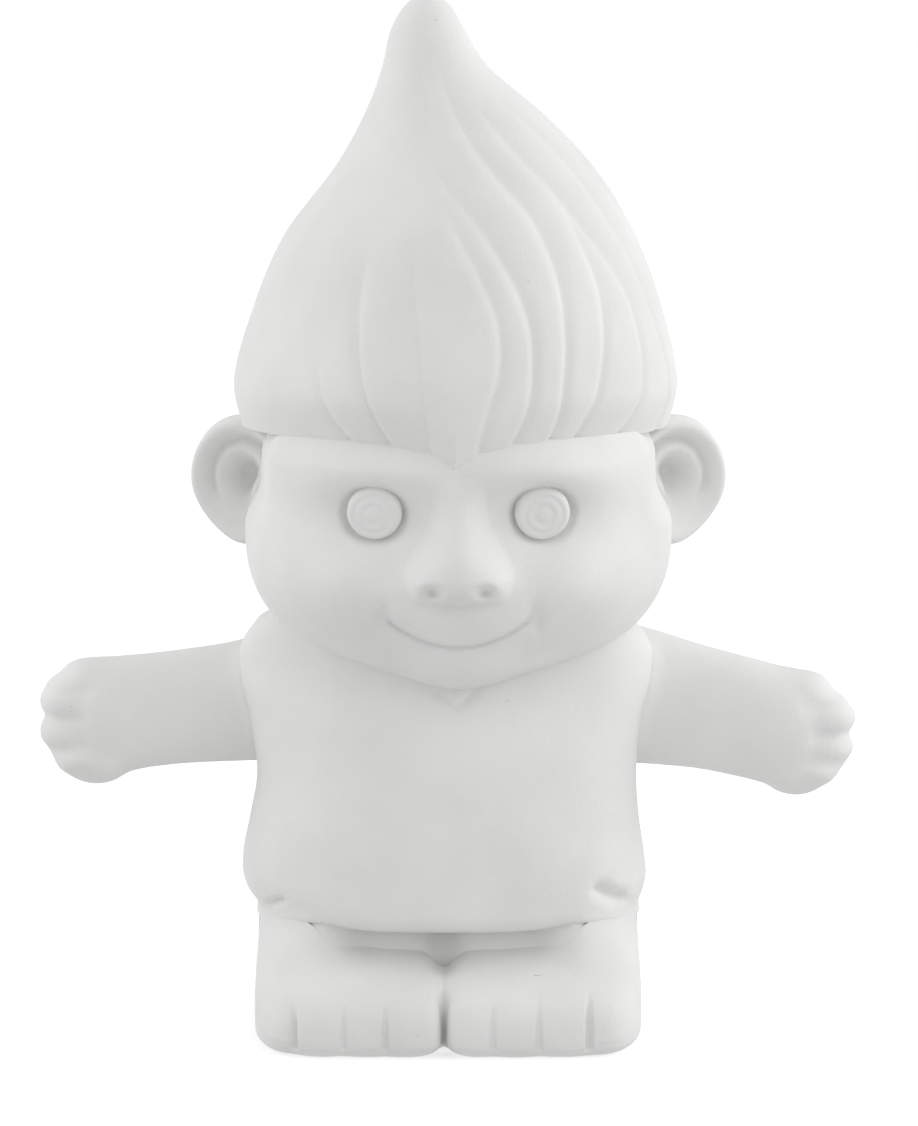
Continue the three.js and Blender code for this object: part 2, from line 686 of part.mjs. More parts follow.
function hairSkin(grow) {
  const locks = lockAngles();
  const apron = { x: 0.05, y: 0.97, z: -(PEAK_DROP + OVERCUT) / HAIR_HEIGHT };
  return loft([apron, ...hairProfile.getPoints(16)].map((level) => locks.map(({ angle, groove }) => {
    const cut = groove ? LOCK_GROOVE * smooth(0.15, 0.6, level.y) : 0;
    const twist = THREE.MathUtils.degToRad(LOCK_TWIST) * Math.max(level.z, 0) ** 2.2;
    const [x, y] = outlinePoint(
      angle - twist, hairHalfWidth * level.y + grow - cut, hairHalfDepth * level.y + grow - cut, 2.1);
    const shift = HEAD_OFF_CENTRE - TIP_LEAN * level.x;
    return new THREE.Vector3(x + shift, y, hairZ + HAIR_HEIGHT * level.z);
  })));
}

function hairHollow() {
  const angles = evenAngles(28);
  const rim = headGirth(crownZ);
  const widest = [HEAD_HALF_WIDTH * rim - LUTING_LAND, HEAD_HALF_DEPTH * rim - LUTING_LAND];
  const levels = hairProfile.getPoints(10).filter((level) => level.y * hairHalfDepth > 2 * WALL);
  const first = { ...levels[0], z: -OVERCUT / HAIR_HEIGHT };
  return loft([first, ...levels].map(({ x, y, z }) => ring(
    angles,
    Math.min(hairHalfWidth * y - WALL, widest[0]),
    Math.min(hairHalfDepth * y - WALL, widest[1]),
    hairZ + HAIR_HEIGHT * z, 2.1, HEAD_OFF_CENTRE - TIP_LEAN * x)));
}

// The slot is a stadium cut straight through the back of the hair.
function coinSlot() {
  const round = SLOT_HEIGHT / 2;
  const half = SLOT_LENGTH / 2 - round;
  const outline = new THREE.Shape();
  outline.absarc(half, 0, round, -Math.PI / 2, Math.PI / 2);
  outline.absarc(-half, 0, round, Math.PI / 2, (3 * Math.PI) / 2);
  const geometry = new THREE.ExtrudeGeometry(outline, {
    depth: 2 * hairHalfDepth, bevelEnabled: false, curveSegments: 6,
  });
  geometry.rotateX(-Math.PI / 2);
  geometry.translate(HEAD_OFF_CENTRE, 0, hairZ + SLOT_ABOVE_SEAM);
  return solidFrom(geometry);
}

// The middle lock of the fringe hangs to a point over the brow.
function peak() {
  const outline = new THREE.Shape([
    new THREE.Vector2(-PEAK_WIDTH / 2, hairZ + OVERCUT),
    new THREE.Vector2(-PEAK_WIDTH / 2, hairZ),
    new THREE.Vector2(0, hairZ - PEAK_DROP),
    new THREE.Vector2(PEAK_WIDTH / 2, hairZ),
    new THREE.Vector2(PEAK_WIDTH / 2, hairZ + OVERCUT),
  ]);
  const geometry = new THREE.ExtrudeGeometry(outline, { depth: 2 * hairHalfDepth, bevelEnabled: false });
  geometry.rotateX(Math.PI / 2);
  geometry.translate(HEAD_OFF_CENTRE, 0, 0);
  return solidFrom(geometry);
}

function hair() {
  const room = 2 * (hairHalfWidth + TIP_LEAN);
  const above = block([-room, -room, hairZ], [room, room, hairZ + 2 * HAIR_HEIGHT]);
  return hairSkin(0)
    .intersect(above.add(peak()))
    .subtract(headSkin(SEAM, hairZ))
    .subtract(hairHollow())
    .subtract(coinSlot());
}

// The bank, centred over the origin

const bank = new THREE.Group();
bank.add(
  node("hair_shell", hair(), bisque()),
  node("head_shell", head(), bisque()),
  node("left_ear", ear(-1), bisque()),
  node("right_ear", ear(1), bisque()),
  node("left_eye", eye(-1), bisque()),
  node("right_eye", eye(1), bisque()),
  node("tunic_shell", tunic(), bisque()),
  node("left_arm", arm(-1, LEFT_HAND_DROP), bisque()),
  node("right_arm", arm(1, RIGHT_HAND_DROP), bisque()),
  node("leg_base", legBase(), bisque()),
  node("left_foot", foot(-1), bisque()),
  node("right_foot", foot(1), bisque()),
  node("stopper", stopper(), rubber()),
);
const middle = new THREE.Box3().setFromObject(bank).getCenter(new THREE.Vector3());
bank.position.set(-middle.x, -middle.y, 0);

export default bank;
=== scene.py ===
# %% [markdown]
# # A troll coin bank in white bisque
#
# The bank is a fired but unglazed clay figure: thin hollow castings for the hair, head, tunic and legs,
# with solid pressed arms, feet, ears and eyes stuck on with slip, and a rubber stopper in the base. The
# measured model of that figure gives every size and place, so it is loaded first.

# %% Load the measured model
import json
import math

import bmesh
import bpy
import numpy as np
from mathutils import Matrix, Vector


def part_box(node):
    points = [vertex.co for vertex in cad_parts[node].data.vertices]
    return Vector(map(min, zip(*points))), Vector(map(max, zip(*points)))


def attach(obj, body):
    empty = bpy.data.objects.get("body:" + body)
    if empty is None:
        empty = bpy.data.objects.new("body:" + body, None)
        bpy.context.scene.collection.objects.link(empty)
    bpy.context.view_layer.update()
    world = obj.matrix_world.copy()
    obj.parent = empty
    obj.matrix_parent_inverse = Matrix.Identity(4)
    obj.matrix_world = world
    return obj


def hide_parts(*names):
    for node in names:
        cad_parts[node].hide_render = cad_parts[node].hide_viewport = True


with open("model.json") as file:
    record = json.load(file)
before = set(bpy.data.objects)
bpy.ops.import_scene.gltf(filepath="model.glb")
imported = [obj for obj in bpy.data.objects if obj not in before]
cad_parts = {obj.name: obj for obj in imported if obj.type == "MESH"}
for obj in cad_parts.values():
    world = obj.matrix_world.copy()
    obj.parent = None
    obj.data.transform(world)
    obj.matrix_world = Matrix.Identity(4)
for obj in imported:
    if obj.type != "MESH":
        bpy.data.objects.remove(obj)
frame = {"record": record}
scene = bpy.context.scene
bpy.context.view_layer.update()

MM = 0.001
tunic_low, tunic_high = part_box("tunic_shell")
AXIS_Y = (tunic_low.y + tunic_high.y) / 2


def box_mm(node):
    """A node's lowest and highest corner in millimetres, measured from the figure's upright axis."""
    low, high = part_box(node)
    shift = Vector((0, AXIS_Y, 0))
    return (low - shift) / MM, (high - shift) / MM


def link(name, data):
    """A new object in the scene."""
    thing = bpy.data.objects.new(name, data)
    scene.collection.objects.link(thing)
    return thing


def to_mesh(bm, name):
    """Turns a form that is done into a mesh."""
    mesh = bpy.data.meshes.new(name)
    bm.to_mesh(mesh)
    bm.free()
    return mesh


# %% [markdown]
# ## The camera
#
# A long lens, a little over a metre away and somewhat above the figure's middle, gives the flat look of a
# catalogue picture. The lens is worked out from how much of the figure's plane the picture takes in, so the
# size on the picture is right at any distance. The picture is taller than it is wide, and Blender then
# measures the sensor along its height.

# %% Place the camera
VIEW_HEIGHT = 0.2185
VIEW_DISTANCE = 1.2
VIEW_ELEVATION = math.radians(8)
VIEW_TARGET = Vector((0.0021, AXIS_Y, 0.0898))

camera = link("camera", bpy.data.cameras.new("camera"))
back = Vector((0, -math.cos(VIEW_ELEVATION), math.sin(VIEW_ELEVATION)))
camera.location = VIEW_TARGET + back * VIEW_DISTANCE
camera.rotation_euler = (-back).to_track_quat("-Z", "Y").to_euler()
camera.data.lens = camera.data.sensor_width * VIEW_DISTANCE / VIEW_HEIGHT
scene.camera = camera
print("lens in mm:", round(camera.data.lens, 1))

# %% [markdown]
# ## Colours and nodes
#
# A hex colour is written for the eye, so it is turned to linear light before a shader reads it. One small
# function adds every node in this lesson: it sets the node's properties, then fills each socket with a
# number or a link. Four more stand on it, for the sums, the noise, the spreads of values and the blends
# that the materials share.

# %% Colour and node helpers
def colour(code):
    """A hex colour as linear light, with full alpha."""
    shares = [int(code[i:i + 2], 16) / 255 for i in (1, 3, 5)]
    return [s / 12.92 if s <= 0.04045 else ((s + 0.055) / 1.055) ** 2.4 for s in shares] + [1.0]


def add(tree, kind, inputs=(), **settings):
    """Adds a node to a tree, with its settings, and its sockets set to values or linked to other sockets."""
    node = tree.nodes.new(kind)
    for name, value in settings.items():
        setattr(node, name, value)
    for socket, value in dict(inputs).items():
        if isinstance(value, bpy.types.NodeSocket):
            tree.links.new(value, node.inputs[socket])
        else:
            node.inputs[socket].default_value = value
    return node


def new_material(name):
    """An empty node material, its tree and its Object coordinates."""
    material = bpy.data.materials.new(name)
    material.use_nodes = True
    tree = material.node_tree
    tree.nodes.clear()
    return material, tree, add(tree, "ShaderNodeTexCoord").outputs["Object"]


def maths(tree, operation, first, second, clamp=False):
    """A sum or a comparison of two values."""
    node = add(tree, "ShaderNodeMath", {0: first, 1: second}, operation=operation, use_clamp=clamp)
    return node.outputs[0]


def noise(tree, place, size, detail):
    """Soft blotches of about a size."""
    inputs = {"Vector": place, "Scale": 1 / size, "Detail": detail}
    return add(tree, "ShaderNodeTexNoise", inputs).outputs["Fac"]


def remap(tree, value, source, target):
    """A value spread from one range over another."""
    sockets = ("From Min", "From Max", "To Min", "To Max")
    inputs = {"Value": value, **dict(zip(sockets, (*source, *target)))}
    return add(tree, "ShaderNodeMapRange", inputs).outputs["Result"]


def blend(tree, share, *stops):
    """A blend of two colours, each given with the share where it stands."""
    node = add(tree, "ShaderNodeValToRGB", {"Fac": share})
    for element, (place, code) in zip(node.color_ramp.elements, stops):
        element.position = place
        element.color = colour(code)
    return node.outputs["Color"]


print("node helpers ready")

# %% [markdown]
# ## Bisque
#
# Bisque is clay fired once and left bare. It has no gloss: light goes a little way in between the grains
# and comes back evenly, so the surface looks chalky and its forms read by soft shade alone. Close up it
# has a fine tooth from the grog and the sponge that wiped it, a few pinholes, and a slight unevenness of
# tone. The true grit is about a tenth of a millimetre, too fine to show, so it is drawn at nine tenths.

# %% Make the bisque
GRIT = 0.9 * MM
SPONGE_MARK = 3.5 * MM
PINHOLE_SPACING = 9 * MM
TONE_PATCH = 18 * MM
PINHOLE_EDGE = (0.015, 0.035)
TOOTH_HEIGHT = 0.12 * MM
PINHOLE_DEPTH = 0.1 * MM


def make_bisque():
    material, tree, place = new_material("white_bisque")
    grit = noise(tree, place, GRIT, 2.0)
    sponge = noise(tree, place, SPONGE_MARK, 3.0)
    patch = noise(tree, place, TONE_PATCH, 2.0)
    holes = add(tree, "ShaderNodeTexVoronoi", {"Vector": place, "Scale": 1 / PINHOLE_SPACING})
    pin = remap(tree, holes.outputs["Distance"], PINHOLE_EDGE, (0.0, 1.0))
    tone = blend(tree, patch, (0.3, "#E6E6E5"), (0.7, "#EDEDEC"))
    # Each pinhole is painted a little darker, as painted shade in the pit, over the random tone of the clay.
    pit_shaded_tone = add(tree, "ShaderNodeMix", {"Factor": pin, "A": colour("#D9D8D5"), "B": tone}, data_type="RGBA")
    soft = add(tree, "ShaderNodeBump", {"Height": sponge, "Strength": 0.25, "Distance": TOOTH_HEIGHT})
    tooth = add(tree, "ShaderNodeBump", {
        "Height": grit, "Strength": 0.6, "Distance": TOOTH_HEIGHT, "Normal": soft.outputs["Normal"]})
    pits = add(tree, "ShaderNodeBump", {
        "Height": pin, "Strength": 0.3, "Distance": PINHOLE_DEPTH, "Normal": tooth.outputs["Normal"]})
    clay = add(tree, "ShaderNodeBsdfPrincipled", {
        "Base Color": pit_shaded_tone.outputs["Result"], "Roughness": remap(tree, sponge, (0.3, 0.7), (0.82, 0.95)),
        "Normal": pits.outputs["Normal"], "IOR": 1.5, "Specular IOR Level": 0.25})
    add(tree, "ShaderNodeOutputMaterial", {"Surface": clay.outputs["BSDF"]})
    return material


BISQUE = make_bisque()
print("made", BISQUE.name)

# %% [markdown]
# ## Stopper rubber
#
# The stopper is moulded black rubber with a satin skin. It picks up a grey bloom and fine dust, which
# lifts the black in soft patches and dulls the shine there.

# %% Make the rubber
BLOOM_PATCH = 5 * MM
MOULD_GRAIN = 0.5 * MM
GRAIN_HEIGHT = 0.04 * MM


def make_rubber():
    material, tree, place = new_material("moulded_black_rubber")
    bloom = noise(tree, place, BLOOM_PATCH, 4.0)
    grain = noise(tree, place, MOULD_GRAIN, 2.0)
    tone = blend(tree, bloom, (0.35, "#232324"), (0.75, "#3A3A3C"))
    rough = remap(tree, bloom, (0.3, 0.75), (0.48, 0.72))
    skin = add(tree, "ShaderNodeBump", {"Height": grain, "Strength": 0.3, "Distance": GRAIN_HEIGHT})
    rubber = add(tree, "ShaderNodeBsdfPrincipled", {
        "Base Color": tone, "Roughness": rough, "Normal": skin.outputs["Normal"], "IOR": 1.52})
    add(tree, "ShaderNodeOutputMaterial", {"Surface": rubber.outputs["BSDF"]})
    return material


RUBBER = make_rubber()
print("made", RUBBER.name)

# %% [markdown]
# ## Floor and light
#
# The figure stands in a light tent: an even glow from all round, a broad lamp over the right shoulder of
# the camera and a panel at each side that keeps the edges of the figure bright. The floor's own colour
# stays pale for the light that bounces, and it is lifted to white only for the rays that come straight
# from the camera or off gloss, so the shadow stays. Its underside is clear, and it lets light through to
# what touches it, so that a view from below shows the base.

# %% Make the stage
GLOW = 0.69
LAMPS = [
    ("broad_lamp", 1.8, 0.8, Vector((0.45, -0.8, 0.95))),
    ("right_panel", 3.8, 0.8, Vector((0.95, 0.15, 0.45))),
    ("left_panel", 2.9, 0.8, Vector((-0.95, 0.15, 0.40))),
]
FLOOR_SIZE = 4.0
FLOOR_LIFT = (0.44, 0.60)
SHADOW_REACH = (0.10, 0.40)
CONTACT = 2 * MM


def seen_directly(tree):
    """One for a ray from the camera, off gloss or through glass, and nought for light that bounces."""
    path = add(tree, "ShaderNodeLightPath").outputs
    total = maths(tree, "ADD", path["Is Camera Ray"], path["Is Glossy Ray"])
    return maths(tree, "ADD", total, path["Is Transmission Ray"], clamp=True)


def make_world():
    world = bpy.data.worlds.new("soft_white")
    world.use_nodes = True
    tree = world.node_tree
    tree.nodes.clear()
    strength = remap(tree, seen_directly(tree), (0.0, 1.0), (GLOW, 1.0))
    glow = add(tree, "ShaderNodeBackground", {"Color": colour("#FFFFFF"), "Strength": strength})
    add(tree, "ShaderNodeOutputWorld", {"Surface": glow.outputs["Background"]})
    scene.world = world


def make_floor():
    material, tree, place = new_material("pale_floor")
    away = add(tree, "ShaderNodeVectorMath", {0: place}, operation="LENGTH")
    fade = remap(tree, away.outputs["Value"], SHADOW_REACH, FLOOR_LIFT)
    lift = maths(tree, "MULTIPLY", seen_directly(tree), fade)
    card = add(tree, "ShaderNodeBsdfPrincipled", {
        "Base Color": colour("#DEDEDE"), "Roughness": 1.0, "Specular IOR Level": 0.0,
        "Emission Color": colour("#FFFFFF"), "Emission Strength": lift})
    clear = add(tree, "ShaderNodeBsdfTransparent")
    under = add(tree, "ShaderNodeNewGeometry").outputs["Backfacing"]
    length = add(tree, "ShaderNodeLightPath").outputs["Ray Length"]
    open_side = maths(tree, "MAXIMUM", under, maths(tree, "LESS_THAN", length, CONTACT))
    both = add(tree, "ShaderNodeMixShader", {0: open_side, 1: card.outputs["BSDF"], 2: clear.outputs["BSDF"]})
    add(tree, "ShaderNodeOutputMaterial", {"Surface": both.outputs["Shader"]})
    bm = bmesh.new()
    bmesh.ops.create_grid(bm, x_segments=1, y_segments=1, size=FLOOR_SIZE / 2)
    mesh = to_mesh(bm, "floor")
    mesh.materials.append(material)
    floor = link("floor", mesh)


def make_lamp(name, power, size, place):
    lamp = link(name, bpy.data.lights.new(name, "AREA"))
    lamp.data.energy = power
    lamp.data.size = size
    lamp.location = place
    lamp.rotation_euler = (VIEW_TARGET - place).to_track_quat("-Z", "Y").to_euler()


scene.view_settings.view_transform = "Standard"
make_world()
make_floor()
for lamp in LAMPS:
    make_lamp(*lamp)
print("stage made")

# %% [markdown]
# ## Working the clay
#
# Most pieces here are skins that wrap round an axis. Each starts as a flat grid from `create_grid`, whose
# width is the turn round the axis and whose height is the rise along it, and a function says where each
# point of the sheet goes. This is a potter's slab bent round a core, and it lets the grid be finest where
# the detail is. The forms are made in millimetres, and the last step scales them to metres and sets them
# in the frame.

# %% Slab, casting and finishing helpers
SIDES = ((-1, "left"), (1, "right"))
WELD = 0.0005
SLIVER = 0.0002


def through(points, at):
    """A smooth curve through a few (place, size) points, read at many places."""
    places, sizes = np.array(points, float).T
    slopes = np.gradient(sizes, places)
    i = np.clip(np.searchsorted(places, at) - 1, 0, len(places) - 2)
    span = places[i + 1] - places[i]
    t = np.clip((at - places[i]) / span, 0, 1)
    start = sizes[i] * (1 + 2 * t) * (1 - t) ** 2 + slopes[i] * span * t * (1 - t) ** 2
    end = sizes[i + 1] * t * t * (3 - 2 * t) + slopes[i + 1] * span * t * t * (t - 1)
    return start + end


def ease(low, high, at):
    """Nought below low, one above high, and a soft step between."""
    t = np.clip((at - low) / (high - low), 0, 1)
    return t * t * (3 - 2 * t)


def within(form, *places):
    """An amount that comes in softly: a form is the amount and a pair of bounds for each place."""
    amount, *bounds = form
    for pair, place in zip(bounds, places):
        amount = amount * ease(*pair, place)
    return amount


def mix(pair, share):
    """From the first of a pair of values to the second."""
    return pair[0] + (pair[1] - pair[0]) * share


def rounded(turn, power):
    """The sideways and forward shares of a rounded-square outline at each turn from the front."""
    across, forward = np.sin(turn), np.cos(turn)
    reach = (np.abs(across) ** power + np.abs(forward) ** power) ** (-1 / power)
    return across * reach, forward * reach


def places_of(bm):
    return np.array([v.co for v in bm.verts])


def put(verts, places):
    for vert, place in zip(verts, places):
        vert.co = place


def slab(bm, columns, rows, surface):
    """Adds a sheet of clay bent round an axis: surface(turn, rise) gives each point's place."""
    before = set(bm.verts)
    bmesh.ops.create_grid(bm, x_segments=columns, y_segments=rows, size=0.5)
    verts = [v for v in bm.verts if v not in before]
    flat = np.array([v.co for v in verts])
    put(verts, np.column_stack(surface(flat[:, 0] * 2 * np.pi, flat[:, 1] + 0.5)))
    bmesh.ops.remove_doubles(bm, verts=verts, dist=WELD)
    bmesh.ops.dissolve_degenerate(bm, edges=bm.edges, dist=SLIVER)


def casting(outside, inside, columns, rows, inner_rows, *rims):
    """A hollow form: an outer and an inner skin, bridged at each pair of rim heights."""
    bm = bmesh.new()
    slab(bm, columns, rows, outside)
    slab(bm, columns, inner_rows, inside)
    for low, high in rims:
        rim = [e for e in bm.edges if e.is_boundary and all(low <= v.co.z <= high for v in e.verts)]
        bmesh.ops.bridge_loops(bm, edges=rim)
    return bm


def with_modifiers(bm, *steps):
    """Runs modifiers, given as (kind, settings), on a form and returns the result."""
    mesh = to_mesh(bm, "wet_clay")
    clay = link("wet_clay", mesh)
    for kind, settings in steps:
        modifier = clay.modifiers.new(kind.lower(), kind)
        for name, value in settings.items():
            setattr(modifier, name, value)
    result = bmesh.new()
    result.from_object(clay, bpy.context.evaluated_depsgraph_get())
    bpy.data.objects.remove(clay)
    bpy.data.meshes.remove(mesh)
    return result


def fire(bm, name, nodes, material=BISQUE, body="figure", crease=50):
    """Finishes a form: its place in metres, its material, its body and the nodes that it stands for."""
    bmesh.ops.recalc_face_normals(bm, faces=bm.faces)
    settle = Matrix.Translation((0, AXIS_Y, 0)) @ Matrix.Scale(MM, 4)
    bmesh.ops.transform(bm, matrix=settle, verts=bm.verts)
    mesh = to_mesh(bm, name)
    mesh.shade_smooth()
    mesh.set_sharp_from_angle(angle=math.radians(crease))
    mesh.materials.append(material)
    piece = link(name, mesh)
    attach(piece, body)
    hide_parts(*nodes)
    mesh.calc_loop_triangles()
    low, high = Vector(piece.bound_box[0]), Vector(piece.bound_box[6])
    sizes = [round(s / MM, 1) for s in high - low]
    print(name, "triangles:", len(mesh.loop_triangles), "mm:", sizes)


print("helpers ready")

# %% [markdown]
# ## Tools for lines and hollows
#
# A modelling tool drawn over clay leaves a line with a narrow floor and soft shoulders. `carve` does that
# along a path seen from the front: each point near the path moves in along its normal. Lumps of clay are
# stretched spheres from `create_uvsphere`, and a voxel Remesh modifier followed by a Smooth modifier
# fuses them as a wet finger would.

# %% Carving and lumps
BEHIND = 2.0
TURNED_AWAY = (0.1, 0.5)


def distance_to(path, places):
    """The distance from each place to a path of points."""
    best = np.full(len(places), np.inf)
    path = np.array(path, float)
    for start, end in zip(path, path[1:]):
        run = end - start
        share = np.clip((places - start) @ run / (run @ run), 0, 1)
        best = np.minimum(best, np.linalg.norm(places - start - share[:, None] * run, axis=1))
    return best


def carve(bm, path, width, depth, fade=0):
    """Presses a line into the front of a form along (x, z) points. It can fade out below its end."""
    bm.normal_update()
    places = places_of(bm)
    normals = np.array([v.normal for v in bm.verts])
    push = depth * np.exp(-(distance_to(path, places[:, [0, 2]]) / width) ** 2)
    push = push * (places[:, 1] < BEHIND) * (1 - ease(*TURNED_AWAY, normals[:, 1]))
    if fade:
        push = push * (1 - ease(path[-1][1] - fade, path[-1][1], places[:, 2]))
    put(bm.verts, places - normals * push[:, None])


def lump(bm, centre, radii):
    """Adds a stretched ball of clay."""
    matrix = Matrix.LocRotScale(Vector(centre), None, Vector(radii))
    bmesh.ops.create_uvsphere(bm, u_segments=32, v_segments=20, radius=1, matrix=matrix)


def pellet(x, z, height, across, up, wide, tall):
    """The height at each place of a soft pellet pressed on at a point."""
    return height * np.exp(-((x - across) / wide) ** 2 - ((z - up) / tall) ** 2)


def fuse(bm, grain, rounds):
    """Fuses overlapping lumps into one skin, then softens the joins."""
    return with_modifiers(
        bm,
        ("REMESH", {"mode": "VOXEL", "voxel_size": grain}),
        ("SMOOTH", {"factor": 0.5, "iterations": rounds}))


print("tools ready")

# %% [markdown]
# ## The hair
#
# The hair is one tall casting, a flame of locks swept up and over to the left. It could be sculpted lock
# by lock, but the mould maker worked the other way: a smooth cone first, then lines cut into it, so the locks
# are what is left between the lines. A line is narrow at the fringe and opens as it rises, most of
# all on the side away from the middle, so that each lock seems to lie over the next. Each line is a list
# of heights and angles round the cone. The ones that the front shows are given one by one, and the rest
# follow one rule: they drift to the left as they rise. The grid is closer at the front, where the lines
# are finest. The lower edge rolls in to the brow, with the middle lock hanging lowest.

# %% Shape the hair
_, hair_high = box_mm("hair_shell")
head_low, head_high = box_mm("head_shell")
FRINGE_LAP = 0.8
FRINGE = head_high.z - FRINGE_LAP
HAIR_HEIGHT = hair_high.z - FRINGE
HAIR_DEPTH_SHARE = 0.92
HAIR_CENTRE = [
    (0, 1.3), (8, 1.4), (22, 1.8), (37, 2.3), (51, 3.2), (60, 1.2), (69.5, -2.6), (76, -3.9), (82, -3.9)]
HAIR_HALF_WIDTH = [
    (0, 42.3), (8, 42.9), (22, 39.7), (37, 33.7), (51, 24.1), (60, 17.2), (69.5, 9.9), (76, 7.4), (82, 6.5)]
TIP_ROUND = 10.0
FRINGE_TUCK = 1.2
FRINGE_TUCK_FRONT = (3.0, (0, 0.8))
FRINGE_TUCK_HEIGHT = 9.0
TUCK_POWER = 1.7
MIDDLE_LOCK_DROP = 6.8
MIDDLE_LOCK_SPREAD = 6.5
WALL = 5.0
LOCK_WALL = 3.0
TOP_WALL = 3 * WALL
INNER_RIM_DROP = 0.2
INNER_TOP_POWER = 6

LEFT_LOCKS = [
    (0.7, [(0, -31), (8, -36), (16, -39)]),
    (0.9, [(0, -19), (14, -26), (26, -29.5), (38, -30)]),
    (0.6, [(0, -7), (20, -10.5), (42, -17)]),
]
RIGHT_LOCKS = [
    (0.8, [(0, 7), (6, 8.5), (12, 11), (18, 12), (24, 11), (30, 7.5), (40, -2), (50, -16)]),
    (1.0, [(0, 17), (6, 19), (14, 20.5), (22, 20.5), (28, 18), (34, 13.5), (42, 4), (49, -10),
           (54, -16), (62, -18), (74, -15)]),
    (0.9, [(0, 28), (8, 28.5), (20, 31), (28, 31.5), (36, 29.5), (42, 25.5), (48, 16), (54, 7.5),
           (60, 2), (72, 6)]),
    (0.7, [(0, 36), (5, 37), (10, 39.5), (20, 44), (28, 45.5), (38, 43), (48, 38)]),
    (0.6, [(0, 53), (8, 56), (18, 59), (26, 58), (33, 53), (40, 46), (47, 37), (54, 27), (66, 17)]),
]
BACK_LOCK_ANGLES = [74, 91, 107, 124, 140, 157, 174, 191, 208, 224, 240, 256, 272]
BACK_LOCK_TOP = 64
BACK_LOCK_POINTS = 8
LOCK_DRIFT = 55.0
DRIFT_POWER = 2.2
BACK_STRENGTH = 0.7
LINE_DEPTH = 0.9
LINE_POWER = 1.5
LINE_RUN_OUT = (12, 2)
FRINGE_GAIN = 0.3
FRINGE_GAIN_HEIGHT = 7
LOCK_OPENING = (15, 45)
INNER_SHOULDER = (0.8, 1.5)
OUTER_SHOULDER = (1.1, 3.4)
TIP_GIRTH = 12
FRONT_CROWDING = 0.45
FRINGE_CROWDING = 1.5


def drifting_lock(angle):
    """A line that starts at an angle on the fringe and drifts to the left as it rises."""
    heights = np.linspace(0, BACK_LOCK_TOP, BACK_LOCK_POINTS)
    return [(h, angle - LOCK_DRIFT * (h / HAIR_HEIGHT) ** DRIFT_POWER) for h in heights]


LOCKS = [(-1, *lock) for lock in LEFT_LOCKS] + [(1, *lock) for lock in RIGHT_LOCKS]
LOCKS += [(1 if a < 180 else -1, BACK_STRENGTH, drifting_lock(a)) for a in BACK_LOCK_ANGLES]


def hair_half_width(height):
    tip = np.sqrt(1 - np.clip((height - HAIR_HEIGHT + TIP_ROUND) / TIP_ROUND, 0, 1) ** 2)
    return through(HAIR_HALF_WIDTH, height) * tip


def lock_relief(turn, height, girth):
    """How far the lines between the locks cut in."""
    relief = np.zeros_like(turn)
    opening = ease(*LOCK_OPENING, height)
    inner = mix(INNER_SHOULDER, opening)
    outer = mix(OUTER_SHOULDER, opening)
    for outward, strength, line in LOCKS:
        angle = np.radians(through(line, height))
        away = outward * ((turn - angle + np.pi) % (2 * np.pi) - np.pi) * girth
        end = line[-1][0]
        strength = strength * (1 - ease(end - LINE_RUN_OUT[0], end + LINE_RUN_OUT[1], height))
        strength = strength * (1 + FRINGE_GAIN * np.exp(-height / FRINGE_GAIN_HEIGHT))
        shoulder = np.where(away < 0, inner, outer)
        relief += strength * LINE_DEPTH * np.exp(-(np.abs(away) / shoulder) ** LINE_POWER)
    return relief


def hair_point(turn, height, radius):
    """A point of the leaning cone, at a turn, a height and a distance from its middle line."""
    x = through(HAIR_CENTRE, np.maximum(height, 0)) + radius * np.sin(turn)
    y = -HAIR_DEPTH_SHARE * radius * np.cos(turn)
    return x, y, FRINGE + height


def hair_outside(turn, rise):
    turn = turn - FRONT_CROWDING * np.sin(turn)
    sideways = np.abs(np.sin(turn)) * HAIR_HALF_WIDTH[0][1]
    drop = MIDDLE_LOCK_DROP * np.exp(-sideways / MIDDLE_LOCK_SPREAD) * (np.cos(turn) > 0)
    share = 1 - (1 - rise) ** FRINGE_CROWDING
    height = -drop + (HAIR_HEIGHT + drop) * share
    girth = hair_half_width(np.maximum(height, 0))
    above_edge = np.clip((height + drop) / FRINGE_TUCK_HEIGHT, 0, 1)
    tuck = FRINGE_TUCK + within(FRINGE_TUCK_FRONT, np.cos(turn))
    tuck = tuck * (1 - above_edge) ** TUCK_POWER
    relief = lock_relief(turn, height, girth) * np.clip(girth / TIP_GIRTH, 0, 1)
    return hair_point(turn, height, np.maximum(girth - tuck - relief, 0))


def hair_inside(turn, rise):
    turn = turn - FRONT_CROWDING * np.sin(turn)
    height = -INNER_RIM_DROP + (HAIR_HEIGHT - TOP_WALL) * (1 - (1 - rise) ** FRINGE_CROWDING)
    top = np.sqrt(1 - np.clip(rise, 0, 1) ** INNER_TOP_POWER)
    girth = hair_half_width(np.maximum(height, 0))
    return hair_point(turn, height, np.maximum(girth - WALL - LOCK_WALL, 0) * top)


HAIR_GRID = (540, 150, 8)
HAIR_RIM = (FRINGE - 10, FRINGE + 3)
hair = casting(hair_outside, hair_inside, *HAIR_GRID, HAIR_RIM)
print("hair vertices:", len(hair.verts))

# %% [markdown]
# ## The coin slot
#
# A coin goes in through a slot cut in the back of the hair while the clay is leather-hard. A knife leaves
# a straight slot with round ends, so the cutter is a stadium: a cylinder pulled out sideways. A Boolean
# modifier takes it out of the wall. A wet finger softens the edge, so the clay round the slot is pressed
# in a little before the cut.

